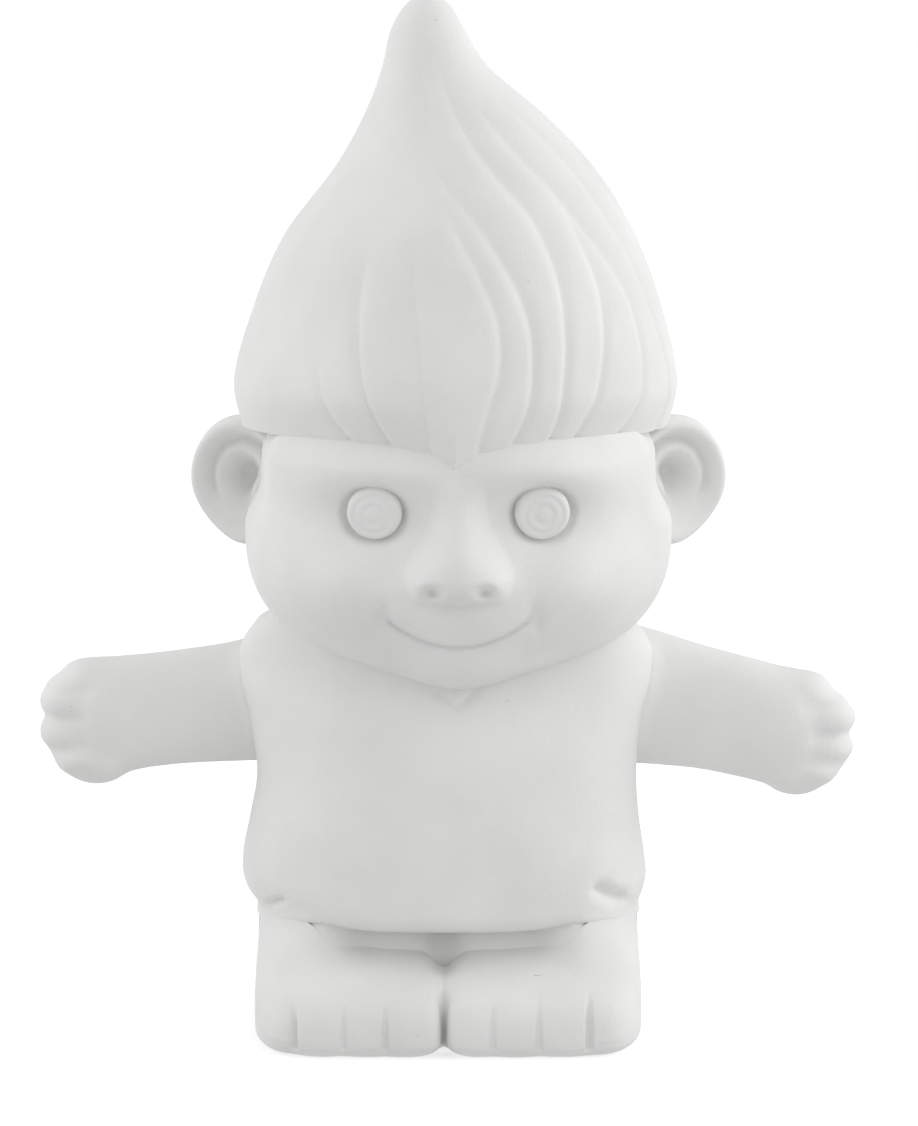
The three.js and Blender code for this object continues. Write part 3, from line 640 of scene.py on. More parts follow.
# %% Cut the coin slot
slot_box = next(o for o in frame["record"]["physics"]["openings"] if o["name"] == "coin_slot")["box_m"]
slot_middle = (np.array(slot_box[0]) + np.array(slot_box[1])) / 2 / MM
SLOT_LENGTH = 32.0
SLOT_HEIGHT = 5.0
LIP_DEPTH = 0.9
LIP_WIDTH = 1.1
BACK_OF_HAIR = 20
CUTTER_LENGTH = 40
CUTTER_Y = 40
straight = (SLOT_LENGTH - SLOT_HEIGHT) / 2
slot_line = [(slot_middle[0] - straight, slot_middle[2]), (slot_middle[0] + straight, slot_middle[2])]
hair_places = places_of(hair)
beyond = np.clip(distance_to(slot_line, hair_places[:, [0, 2]]) - SLOT_HEIGHT / 2, 0, None)
on_back = hair_places[:, 1] > BACK_OF_HAIR
hair_places[:, 1] -= LIP_DEPTH * np.exp(-(beyond / LIP_WIDTH) ** 2) * on_back
put(hair.verts, hair_places)

cutter = bmesh.new()
reach = Matrix.Rotation(math.radians(90), 4, "X")
bmesh.ops.create_cone(
    cutter, cap_ends=True, segments=32, radius1=SLOT_HEIGHT / 2, radius2=SLOT_HEIGHT / 2, depth=CUTTER_LENGTH,
    matrix=Matrix.Translation((slot_middle[0], CUTTER_Y, slot_middle[2])) @ reach)
for vert in cutter.verts:
    offset = vert.co.x - slot_middle[0]
    if abs(offset) > 1e-4:
        vert.co.x += math.copysign(straight, offset)
slot_cutter = link("slot_cutter", to_mesh(cutter, "slot_cutter"))
bmesh.ops.recalc_face_normals(hair, faces=hair.faces)
cut = {"operation": "DIFFERENCE", "solver": "EXACT", "object": slot_cutter}
hair = with_modifiers(hair, ("BOOLEAN", cut))
bpy.data.objects.remove(slot_cutter)
fire(hair, "hair", ["hair_shell"])

# %% [markdown]
# ## The head
#
# The head is a broad round casting, open at the crown and the neck, and a little flattened at the temples
# where the ears sit. The slab gives it a plain egg shape first. The face is then pushed out of it from
# the front, as a sculptor adds pellets: wide soft swells for the brows, cheeks, lips and chin, and a
# firmer ridge for the nose, with a wing at each side. The sockets, the mouth and the nostrils are pressed
# in. Half the columns of the grid are kept for the face, where the detail is. The face is a plain doll's
# face of its own, the same on both sides.

# %% Shape the head
HEAD_MIDDLE_X = (head_low.x + head_high.x) / 2
HEAD_HALF_WIDTH = 41.3
HEAD_HALF_DEPTH = head_high.y
HEAD_WAIST = 96.0
HEAD_LAP = 0.6
HEAD_DROP = HEAD_WAIST - head_low.z + HEAD_LAP
HEAD_RISE = 100.0
HEAD_POWER = 2.3
HEAD_OUTLINE = 2.15
BOTTOM_SHARE = 0.62
NECK_SHARE = 0.42
CROWN_ROLL = 2.2
CROWN_ROLL_HEIGHT = 6.0
CROWN_ROLL_POWER = 1.7
TEMPLE_FLAT = (3.0, (98, 107), (0.86, 1.0), (-0.6, -0.2))
CHIN_DROP = 2.2
CHIN_HALF_WIDTH = 11
CHIN_HEIGHTS = (69, 78)
CHIN_FRONT = (0.2, 0.8)
FACE_CROWDING = 0.75
FACE_EDGE = (0.0, 0.35)
INNER_NECK_LIFT = 2.5

SWELLS = [
    ("brow", 3.8, 17, 111.5, 13.5, 5.0),
    ("eye hollow", -4.2, 15, 103.0, 10, 6.6),
    ("cheek", 4.2, 24, 90, 10.5, 8.5),
    ("muzzle", 4.6, 0, 84, 14.5, 8),
    ("chin", 4.4, 0, 72.5, 12.5, 4.6),
]
NOSE_RIDGE = [
    (87.2, 0), (88.0, 2.8), (89.4, 5.8), (91.4, 7.7), (94, 8.2), (97, 7.5), (101, 5.3), (105, 2.7),
    (109, 0.7), (111, 0)]
NOSE_HALF_WIDTH = [(87.2, 9.0), (90, 10.0), (92.5, 10.4), (96, 9.4), (100, 7.2), (104, 5.6), (111, 5)]
NOSE_ROUND = (2.2, 1.1)
NOSE_WING = (1.8, 7.6, 91.6, 3.2, 3.2)
EYE_X = 16.0
EYE_Z = 103.7
EYE_RADIUS = 5.4
SOCKET_DEPTH = 1.3
SOCKET_EDGE = 1.5
MOUTH_Z = 78.4
MOUTH_RISE = 5.4
MOUTH_REACH = 13.5
MOUTH_SLOPE = 0.8
MOUTH_ENDS = (12.4, 14.6)
LIP_LINE = (1.7, 0.65)
UNDER_LIP = (1.5, 4.0)
UNDER_LIP_EDGE = (-0.3, 0.6)
DIMPLE = (2.0, 14.6, 83.6, 1.5, 3.4)
NOSTRIL = (3.4, 4.9, 90.0, 1.6, 1.2)


def face_swell(x, z):
    """How far the soft forms of the face stand out from the plain head."""
    relief = np.zeros_like(x)
    for _, *swell in SWELLS:
        relief += pellet(np.abs(x), z, *swell)
    return relief


def nose(x, z):
    """A broad nose: a rounded ridge that widens downwards, with a small wing at each side."""
    ridge = through(NOSE_RIDGE, z) * (z > NOSE_RIDGE[0][0]) * (z < NOSE_RIDGE[-1][0])
    side = np.clip(np.abs(x) / through(NOSE_HALF_WIDTH, z), 0, 1)
    return ridge * (1 - side ** NOSE_ROUND[0]) ** NOSE_ROUND[1] + pellet(np.abs(x), z, *NOSE_WING)


def face_lines(x, z):
    """Eye sockets, mouth, the dimples at its corners and the nostrils, as depths pressed in."""
    x = np.abs(x)
    eye = np.hypot(x - EYE_X, z - EYE_Z)
    press = SOCKET_DEPTH * (1 - ease(EYE_RADIUS, EYE_RADIUS + SOCKET_EDGE, eye))
    mouth_height = MOUTH_Z + MOUTH_RISE * (x / MOUTH_REACH) ** 2
    below = (mouth_height - z) / np.hypot(1, MOUTH_SLOPE * x / MOUTH_REACH)
    mouth = 1 - ease(*MOUTH_ENDS, x)
    press += mouth * LIP_LINE[0] * np.exp(-(np.abs(below) / LIP_LINE[1]) ** 2)
    under_lip = mouth * UNDER_LIP[0] * ease(*UNDER_LIP_EDGE, below)
    press += under_lip * np.exp(-np.clip(below, 0, None) / UNDER_LIP[1])
    press += pellet(x, z, *DIMPLE)
    press += pellet(x, z, *NOSTRIL)
    return press


def face_columns(turn):
    """Moves half of the columns to the front third of the turn."""
    return turn - FACE_CROWDING * np.sin(turn)


def head_egg(rise):
    """The share of the full girth and the height, up the side of the plain head."""
    low_angle = -np.arccos(NECK_SHARE ** (HEAD_POWER / 2))
    angle = low_angle * (1 - np.clip(rise / BOTTOM_SHARE, 0, 1))
    upper = np.clip((rise - BOTTOM_SHARE) / (1 - BOTTOM_SHARE), 0, 1)
    up = (head_high.z - HEAD_WAIST) * upper
    z = HEAD_WAIST - HEAD_DROP * np.abs(np.sin(angle)) ** (2 / HEAD_POWER) + up
    share = np.cos(angle) ** (2 / HEAD_POWER) * (1 - (up / HEAD_RISE) ** HEAD_POWER) ** (1 / HEAD_POWER)
    return share, z


def head_outside(turn, rise):
    turn = face_columns(turn)
    share, z = head_egg(rise)
    below_crown = np.clip((head_high.z - z) / CROWN_ROLL_HEIGHT, 0, 1)
    roll = CROWN_ROLL * (1 - below_crown) ** CROWN_ROLL_POWER
    across, forward = rounded(turn, HEAD_OUTLINE)
    x = (HEAD_HALF_WIDTH * share - roll) * across
    x = x - np.sign(x) * within(TEMPLE_FLAT, z, np.abs(across), forward)
    depth = (HEAD_HALF_DEPTH * share - roll) * forward
    front = ease(*FACE_EDGE, np.cos(turn))
    face = depth + face_swell(x, z) + nose(x, z) - face_lines(x, z)
    depth = depth + (face - depth) * front
    drop = CHIN_DROP * np.exp(-(x / CHIN_HALF_WIDTH) ** 2)
    drop = drop * (1 - ease(*CHIN_HEIGHTS, z)) * ease(*CHIN_FRONT, forward)
    return HEAD_MIDDLE_X + x, -depth, z - drop


def head_inside(turn, rise):
    """The inner skin. The wall is twice as thick behind the face."""
    turn = face_columns(turn)
    share, z = head_egg(rise)
    across, forward = rounded(turn, HEAD_OUTLINE)
    x = (HEAD_HALF_WIDTH * share - WALL) * across
    depth = (HEAD_HALF_DEPTH * share - np.where(forward > 0, 2, 1) * WALL) * forward
    return HEAD_MIDDLE_X + x, -depth, z + INNER_NECK_LIFT * (1 - rise)


HEAD_GRID = (360, 180, 14)
CROWN_RIM = (head_high.z - 2, head_high.z + 2)
NECK_RIM = (head_low.z - 5, head_low.z + 9)
head = casting(head_outside, head_inside, *HEAD_GRID, CROWN_RIM, NECK_RIM)
face_places = places_of(head)
fire(head, "head", ["head_shell"])

# %% [markdown]
# ## The eyes
#
# Each eye is a button of clay pressed into its socket, with a ring tooled round the middle. A button is a
# turned shape, so its profile is drawn once and spun round its axis. A plane fitted to the face round the
# socket gives the way that it looks.

# %% Spin the eyes
EYE_PROFILE = [
    (0, 2.0), (0.9, 1.95), (1.5, 1.65), (1.9, 1.6), (2.4, 1.8), (3.0, 1.75), (3.45, 1.45), (3.8, 1.45),
    (4.2, 1.55), (4.7, 1.35), (5.1, 0.8), (5.25, 0.0), (5.25, -3.0), (0, -3.0)]
EYE_SINK = 0.8
EYE_STEPS = 48
SOCKET_RIM = (0.8, 2)
FACE_Y = -25


def socket_plane(side):
    """The place and the outward direction of a socket, fitted to the rim of the face round it."""
    offset = face_places - np.array([HEAD_MIDDLE_X + side * EYE_X, 0, EYE_Z])
    away = np.hypot(offset[:, 0], offset[:, 2])
    near = (away > EYE_RADIUS + SOCKET_RIM[0]) & (away < EYE_RADIUS + SOCKET_RIM[1])
    rim = offset[near & (offset[:, 1] < FACE_Y)]
    flat = np.column_stack([np.ones(len(rim)), rim[:, 0], rim[:, 2]])
    depth, slope_x, slope_z = np.linalg.lstsq(flat, rim[:, 1], rcond=None)[0]
    return Vector((HEAD_MIDDLE_X + side * EYE_X, depth, EYE_Z)), Vector((slope_x, -1, slope_z)).normalized()


def spin_profile(profile, steps):
    """Spins a profile of (radius, height) points about the upright axis into a closed form."""
    bm = bmesh.new()
    verts = [bm.verts.new((r, 0, h)) for r, h in profile]
    edges = [bm.edges.new(pair) for pair in zip(verts, verts[1:])]
    bmesh.ops.spin(
        bm, geom=verts + edges, cent=(0, 0, 0), axis=(0, 0, 1), dvec=(0, 0, 0),
        angle=2 * math.pi, steps=steps, use_merge=True)
    bmesh.ops.remove_doubles(bm, verts=bm.verts, dist=WELD)
    bmesh.ops.recalc_face_normals(bm, faces=bm.faces)
    return bm


for side, name in SIDES:
    eye = spin_profile(EYE_PROFILE, EYE_STEPS)
    eye = with_modifiers(eye, ("SUBSURF", {"levels": 2, "render_levels": 2}))
    seat, outward = socket_plane(side)
    look = outward.to_track_quat("Z", "Y").to_matrix().to_4x4()
    bmesh.ops.transform(eye, matrix=Matrix.Translation(seat - outward * EYE_SINK) @ look, verts=eye.verts)
    fire(eye, f"eye_{name}", [f"{name}_eye"])

# %% [markdown]
# ## The ears
#
# An ear is a pressed disc with a rolled rim, a second ridge inside it and a deep hollow by the head. It
# is a slab again, but bent into a dish: the sheet runs from the middle of the front out to the rim and
# back behind it. The ridge runs out into the lobe at the bottom, and a small flap stands before the
# hollow. The inner half is buried in the head, where the slip holds it. The left ear is the right one
# mirrored.

# %% Shape the ears
EAR_RELIEF = [
    (0, 6.8), (0.12, 6.2), (0.24, 4.0), (0.36, 1.5), (0.43, 0.6), (0.49, 0.4), (0.56, 1.0), (0.63, 1.8),
    (0.69, 0.6), (0.77, -1.1), (0.86, -1.5), (0.93, -0.8), (1.0, 1.8)]
EAR_LOBE = [(0, 6.8), (0.12, 5.8), (0.3, 3.0), (0.5, 1.2), (0.7, 0.3), (0.86, -0.4), (0.94, -0.1), (1.0, 1.8)]
EAR_BACK = [(0, 9.0), (0.5, 7.0), (0.85, 4.6), (1.0, 1.8)]
EAR_FLAP = (3.2, -2.6, -1.8, 1.6, 2.8)
EAR_SPREAD = 11.0
EAR_UP = 12.2
EAR_DOWN = 13.2
EAR_TAPER = 0.25
EAR_FRONT = 0.65
LOBE_START = (0.1, 0.8)
EAR_GRID = (120, 60)
EAR_TURN = 20
EAR_FORWARD = 2
EAR_DROP = 11.4


def ear_sheet(turn, rise):
    """The right ear, with the head on the left of it."""
    in_front = rise < EAR_FRONT
    share = np.where(in_front, rise / EAR_FRONT, (1 - rise) / (1 - EAR_FRONT))
    up = np.cos(turn)
    lobe = ease(*LOBE_START, -up)
    front = through(EAR_RELIEF, share) * (1 - lobe) + through(EAR_LOBE, share) * lobe
    reach = EAR_SPREAD * (1 - EAR_TAPER * np.clip(-up, 0, 1) ** 2)
    x = share * reach * np.sin(turn)
    z = share * np.where(up > 0, EAR_UP, EAR_DOWN) * up
    front = front - pellet(x, z, *EAR_FLAP)
    return x, np.where(in_front, front, through(EAR_BACK, share)), z


for side, name in SIDES:
    ear_low, ear_high = box_mm(f"{name}_ear")
    ear = bmesh.new()
    slab(ear, *EAR_GRID, ear_sheet)
    outer_x = ear_low.x if side < 0 else ear_high.x
    seat_x = outer_x - side * EAR_SPREAD * math.cos(math.radians(EAR_TURN))
    seat = Vector((seat_x, (ear_low.y + ear_high.y) / 2 - EAR_FORWARD, ear_high.z - EAR_DROP))
    turned = Matrix.Rotation(math.radians(EAR_TURN * side), 4, "Z") @ Matrix.Diagonal((side, 1, 1, 1))
    bmesh.ops.transform(ear, matrix=Matrix.Translation(seat) @ turned, verts=ear.verts)
    fire(ear, f"ear_{name}", [f"{name}_ear"])

# %% [markdown]
# ## The tunic
#
# The tunic is a hollow sack with soft shoulders, a chest that slopes back under the chin and a full hem,
# which rolls under at the front and lifts a little towards its corners. Its outline is boxy, so the slab
# follows a rounded square whose width and depth change with height. The left side is a little fuller than
# the right, as a hand-fettled casting is. The notch at the neck and the creases at the hem's corners are
# drawn in last.

# %% Shape the tunic
HEM = tunic_low.z / MM
TUNIC_LEFT = [
    (22, 37.3), (24.6, 37.3), (27, 39.0), (30, 40.0), (33, 40.0), (40, 38.7), (49, 37.2), (60, 38.6),
    (70, 40.6), (74, 40.2), (77, 38.4), (80.2, 34.6), (82, 28)]
TUNIC_RIGHT = [
    (22, 37.3), (24.6, 37.2), (26.8, 38.0), (29, 38.5), (33, 38.2), (40, 37.2), (49, 36.6), (60, 37.6),
    (70, 39.8), (74, 39.4), (77, 37.4), (80.2, 33.0), (82, 27)]
TUNIC_FRONT = [(22, 29.6), (30, 30.0), (40, 29.6), (50, 27.6), (60, 24.2), (68, 20.5), (76, 17), (82, 13)]
TUNIC_BACK = [(22, 29.0), (30, 30.0), (40, 29.8), (50, 29.0), (60, 27.6), (68, 26), (76, 23.5), (82, 16)]
TUNIC_POWER = 2.7
HEM_ROLL = 3.4
HEM_ROLL_SIDE = 0.3
HEM_ROLL_FRONT = (0.7, (0.8, 0.93))
HEM_LIFT = 1.1
HEM_CORNER = (0.6, 0.75)
HEM_MIDDLE = (0.85, 1.0)
HEM_DIP = 1.25
HEM_LIFT_HEIGHT = 12
TUNIC_TOP = 81.5
TUNIC_CROWDING = 1.25
TUNIC_INNER_WIDTH = 32


def tunic_outside(turn, rise):
    z = HEM + (TUNIC_TOP - HEM) * (1 - (1 - rise) ** TUNIC_CROWDING)
    across, forward = rounded(turn, TUNIC_POWER)
    above = np.clip((z - HEM) / HEM_ROLL, 0, 1)
    roll_share = HEM_ROLL_SIDE + within(HEM_ROLL_FRONT, forward)
    roll = HEM_ROLL * (1 - np.sqrt(1 - (1 - above) ** 2)) * roll_share
    wide = np.where(across < 0, through(TUNIC_LEFT, z), through(TUNIC_RIGHT, z))
    deep = np.where(forward > 0, through(TUNIC_FRONT, z), through(TUNIC_BACK, z)) - roll
    lift = HEM_LIFT * ease(*HEM_CORNER, forward) * (1 - HEM_DIP * ease(*HEM_MIDDLE, forward))
    lift = lift * (1 - ease(HEM, HEM + HEM_LIFT_HEIGHT, z))
    return wide * across, -deep * forward, z + lift


def tunic_inside(turn, rise):
    z = HEM + (TUNIC_TOP - HEM) * rise
    across, forward = rounded(turn, TUNIC_POWER)
    wide = np.minimum(through(TUNIC_RIGHT, z) - WALL, TUNIC_INNER_WIDTH)
    deep = np.minimum(through(TUNIC_FRONT, z), through(TUNIC_BACK, z)) - WALL
    return wide * across, -deep * forward, z


TUNIC_GRID = (300, 130, 10)
HEM_RIM = (HEM - 2, HEM + 3)
NECKLINE_RIM = (TUNIC_TOP - 1, TUNIC_TOP + 1)
tunic = casting(tunic_outside, tunic_inside, *TUNIC_GRID, HEM_RIM, NECKLINE_RIM)
CREASE_MARKS = [
    ([(-34.0, 26.1), (-32.2, 27.2)], 0.8, 1.3),
    ([(29.6, 29.8), (32.6, 27.6)], 1.5, 2.4),
    ([(32.6, 27.6), (34.4, 26.6)], 0.8, 0.6),
    ([(-1.7, 67.4), (1.6, 64.6), (4.9, 67.4)], 0.9, 0.75),
]
for mark, width, depth in CREASE_MARKS:
    carve(tunic, mark, width, depth)
fire(tunic, "tunic", ["tunic_shell"])

# %% [markdown]
# ## The arms
#
# Each arm is a solid roll of clay, thick at the shoulder, that ends in a closed paw. The roll is a slab
# whose sections follow the arm's top and bottom edges. It leans back at the shoulder and flares a little
# where the slip joins it to the tunic. The knuckles and the heel of the hand are lumps pressed on, then
# everything is fused and the gaps between the fingers are drawn in with a tool.

# %% Shape the arms
ARMS = {
    "left": {
        "top": [(33, 75.5), (38, 74.8), (42, 73.9), (50, 72.8), (58, 72.0), (66, 71.4), (72, 71.0), (76, 68)],
        "bottom": [(33, 50.5), (42, 50.3), (50, 50.2), (58, 49.6), (66, 48.4), (72, 49.6), (76, 53)],
        "set_back": [(33, 4.5), (42, 3.6), (50, 2.2), (58, 0.9), (68, 0), (76, 0)],
        "hand": [
            ((70.4, -1.0, 67.0), (5.4, 6.6, 4.4)), ((73.6, -1.6, 63.4), (6.0, 7.2, 5.4)),
            ((73.8, -1.6, 57.2), (5.8, 7.2, 5.4)), ((71.2, -2.4, 52.4), (5.6, 7.0, 4.2)),
            ((68.4, -1.0, 51.6), (7.0, 7.6, 5.0))]},
    "right": {
        "top": [(33, 78), (41, 76), (49, 73.6), (57, 71.6), (64, 69.8), (70, 68.4), (75, 65)],
        "bottom": [(33, 50), (41, 49.6), (49, 49.0), (57, 47.6), (64, 46.2), (70, 46.8), (75, 50)],
        "set_back": [(33, 4.5), (45, 3.0), (58, 0.8), (68, 0), (76, 0)],
        "hand": [
            ((69.4, -1.0, 64.4), (5.6, 6.6, 4.6)), ((73.2, -1.6, 60.0), (6.2, 7.2, 5.2)),
            ((73.2, -1.6, 54.0), (5.8, 7.2, 5.0)), ((70.8, -2.4, 50.2), (5.4, 6.8, 4.0)),
            ((67.6, -1.0, 49.4), (6.8, 7.6, 5.0))]}}
ARM_DEPTH = [(33, 9.0), (45, 9.0), (58, 9.0), (68, 9.4), (76, 8)]
ARM_FLARE = 2.0
ARM_FLARE_REACH = 2.5
ARM_GRID = (64, 80)
ARM_START = 33
ARM_LENGTH = 43
ARM_POWER = 2.2
CAP_START = 68
CAP_LENGTH = 8.02
FUSE_GRAIN = 0.45
FUSE_ROUNDS = 60
FINGER_GAP_ENDS = (-2, 8)
FINGER_GAP_WIDTH = 1.3
FINGER_GAP_DEPTH = 0.35


def shape_arm(side, top, bottom, set_back, hand):
    tunic_side = TUNIC_LEFT if side < 0 else TUNIC_RIGHT

    def roll(turn, rise):
        reach = ARM_START + ARM_LENGTH * rise
        cap = np.sqrt(np.clip(1 - ((reach - CAP_START) / CAP_LENGTH).clip(0, 1) ** 2, 0, 1)) * (rise > 0)
        high = through(top, reach)
        low = through(bottom, reach)
        across, forward = rounded(turn, ARM_POWER)
        z = (high + low) / 2 + cap * across * (high - low) / 2
        near = np.clip(1 - (reach - through(tunic_side, z)) / ARM_FLARE_REACH, 0, 1)
        deep = through(ARM_DEPTH, reach) + ARM_FLARE * near ** 2
        return side * reach, through(set_back, reach) - deep * cap * forward, z

    bm = bmesh.new()
    slab(bm, *ARM_GRID, roll)
    for centre, radii in hand:
        lump(bm, (side * centre[0], centre[1], centre[2]), radii)
    bmesh.ops.recalc_face_normals(bm, faces=bm.faces)
    bm = fuse(bm, FUSE_GRAIN, FUSE_ROUNDS)
    for upper, lower in zip(hand[:3], hand[1:4]):
        gap_z = (upper[0][2] - upper[1][2] + lower[0][2] + lower[1][2]) / 2
        gap_x = (upper[0][0] + lower[0][0]) / 2
        gap = [(side * (gap_x + end), gap_z) for end in FINGER_GAP_ENDS]
        carve(bm, gap, FINGER_GAP_WIDTH, FINGER_GAP_DEPTH)
    return bm


for side, name in SIDES:
    fire(shape_arm(side, **ARMS[name]), f"arm_{name}", [f"{name}_arm"])

# %% [markdown]
# ## The legs
#
# Under the hem the two legs are one hollow casting with a floor. It is flush with the tunic at the sides
# and set back at the front, so that the hem throws a shadow there. The floor has the coin hole, stepped
# to take the stopper.

# %% Shape the leg casting
stopper_low, stopper_high = box_mm("stopper")
LEG_LAP = 0.6
LEG_TOP = HEM + LEG_LAP
LEG_HALF_WIDTH = 37.3
LEG_FRONT = 29.2
LEG_BACK = 29.2
HEM_RECESS = 6.4
RECESS_ENDS = (16, 26.5)
CLEFT_X = -0.8
LEG_CLEFT = 2.4
CLEFT_SPREAD = 2.8
STOPPER_GAP = 0.4
HOLE_MOUTH = stopper_high.x + STOPPER_GAP
HOLE_THROAT = 14.4
FLANGE_SEAT = 3.4
FLOOR_TOP = 10.0
BASE_ROUND = 4.5
BASE_BEND = 1.2
RECESS_HEIGHTS = (9, 12.5)
LEG_WALL = 2.6
TOP_INSETS = (0.8, 2.3)
TOP_ROUND = 1.6
BOWL_HEIGHT = 14
TOP_LIFT = (HEM_LIFT + 1, (LEG_TOP - 4, LEG_TOP), (12, 20))


def recess(x):
    """How far the legs stand back under the front of the hem."""
    cleft = LEG_CLEFT * np.exp(-((x - CLEFT_X) / CLEFT_SPREAD) ** 2)
    return HEM_RECESS * (1 - ease(*RECESS_ENDS, np.abs(x))) + cleft


def leg_front(x):
    """The front of the legs under the hem, at each distance from the middle."""
    across = np.clip(np.abs(x) / LEG_HALF_WIDTH, 0, 1)
    return -(LEG_FRONT - recess(x)) * (1 - across ** TUNIC_POWER) ** (1 / TUNIC_POWER)


def leg_ring(turn, inset, set_back):
    """An outline of the legs, set in all round, and standing back at the front or not."""
    across, forward = rounded(turn, TUNIC_POWER)
    deep = np.where(forward > 0, LEG_FRONT - set_back * recess(LEG_HALF_WIDTH * across), LEG_BACK)
    return (LEG_HALF_WIDTH - inset) * across, -(deep - inset) * forward


def hole_ring(turn, radius):
    return radius * np.sin(turn), -radius * np.cos(turn)


def leg_sheet(turn, rise):
    """Down the throat of the hole, along the underside, up the outer wall, over the top and into the bowl."""
    throat = hole_ring(turn, HOLE_THROAT)
    mouth = hole_ring(turn, HOLE_MOUTH)
    outside = leg_ring(turn, 0, 0)
    bowl = leg_ring(turn, LEG_WALL, 1)
    rings = [
        (0, FLOOR_TOP, throat), (0.06, FLANGE_SEAT, throat), (0.1, FLANGE_SEAT, mouth), (0.14, 0, mouth),
        (0.3, 0, leg_ring(turn, BASE_ROUND, 0)),
        (0.34, BASE_BEND, leg_ring(turn, BASE_BEND, 0)),
        (0.38, BASE_ROUND, outside), (0.48, RECESS_HEIGHTS[0], outside),
        (0.54, RECESS_HEIGHTS[1], leg_ring(turn, 0, 1)),
        (0.66, LEG_TOP - TOP_ROUND, leg_ring(turn, TOP_INSETS[0], 1)),
        (0.68, LEG_TOP, leg_ring(turn, TOP_INSETS[1], 1)),
        (0.72, LEG_TOP, bowl), (0.84, BOWL_HEIGHT, bowl),
        (0.92, FLOOR_TOP, leg_ring(turn, LEG_WALL + 1, 1)), (1, FLOOR_TOP, throat)]
    x = y = z = np.zeros_like(turn)
    for (start, low, inner), (end, high, outer) in zip(rings, rings[1:]):
        here = (rise >= start) & (rise <= end)
        t = np.clip((rise - start) / (end - start), 0, 1)
        x = np.where(here, inner[0] * (1 - t) + outer[0] * t, x)
        y = np.where(here, inner[1] * (1 - t) + outer[1] * t, y)
        z = np.where(here, low * (1 - t) + high * t, z)
    return x, y, z + within(TOP_LIFT, z, -y)


LEG_GRID = (240, 150)
legs = bmesh.new()
slab(legs, *LEG_GRID, leg_sheet)
fire(legs, "leg_casting", ["leg_base"], crease=40)

# %% [markdown]
# ## The feet
#
# Each foot is a low cushion of clay set against the leg, rounded on top and flat below. Where it meets
# the leg a fillet of clay runs up towards the hem, highest at the outer side. The toes aren't separate:
# three lines drawn down the front of the cushion part it into four.

# %% Shape the feet
FOOT_SET_IN = 1.5
HEEL_REACH = (6.0, (31, 37))
UNDER_SIDES = (14, 22)
HEEL_TUCK = (1.4, (-12, -2), (0.7, 1.0))
INNER_TUCK = (2.2, (4, 9), (0.5, 1.0))
TOE_HEIGHT = 12.4
TOE_SLOPE = (2, 17)
INSTEP = (16.4, 17.5)
INSTEP_SIDES = (8, 28)
OUTSIDE = (18, 32)
FILLET = (5.5, 9.0)
FILLET_SINK = (0.9, 0.4)
LEG_CLIMB = (2.8, 8.0)
CLEFT_HALF_WIDTH = 0.5
CLEFT_DIP = 2.0
CLEFT_DIP_SPREAD = 2.6
CLEFT_DIP_DEPTHS = (8, 16)
TOE_SOFTNESS = (0.3, (0.3, 1.0))
BACK_TURN = (-0.6, 0.8)
INNER_TURN = (0.1, 0.8)
ROUND_POWER = 0.5
SQUARING = 0.36
FOOT_ROUND = 5.0
FOOT_EDGE = 2.5
OUTER_POWER = 2.5
INNER_POWER = 9.0
TOE_LINES = {
    "left": [(-29.4, 11.5, 1.2), (-19.9, 11.5, 0.6), (-12.0, 11.5, 0.8)],
    "right": [(8.5, 11.5, 0.7), (17.3, 12.0, 0.8), (26.9, 13.0, 1.2)]}
TOE_LINE_FOOT = 2.0
TOE_LINE_WIDTH = 0.5
TOE_LINE_FADE = 6.0
TOE_DIP_TOP = 8.5
TOE_DIP_WIDTH = 2.2
TOE_DIP_DEPTH = 0.3
UNDER_SHARE = 0.12
EDGE_SHARE = 0.08
TOP_CROWDING = 2.4
FRONT_COLUMNS = 0.5
FOOT_GRID = (320, 170)


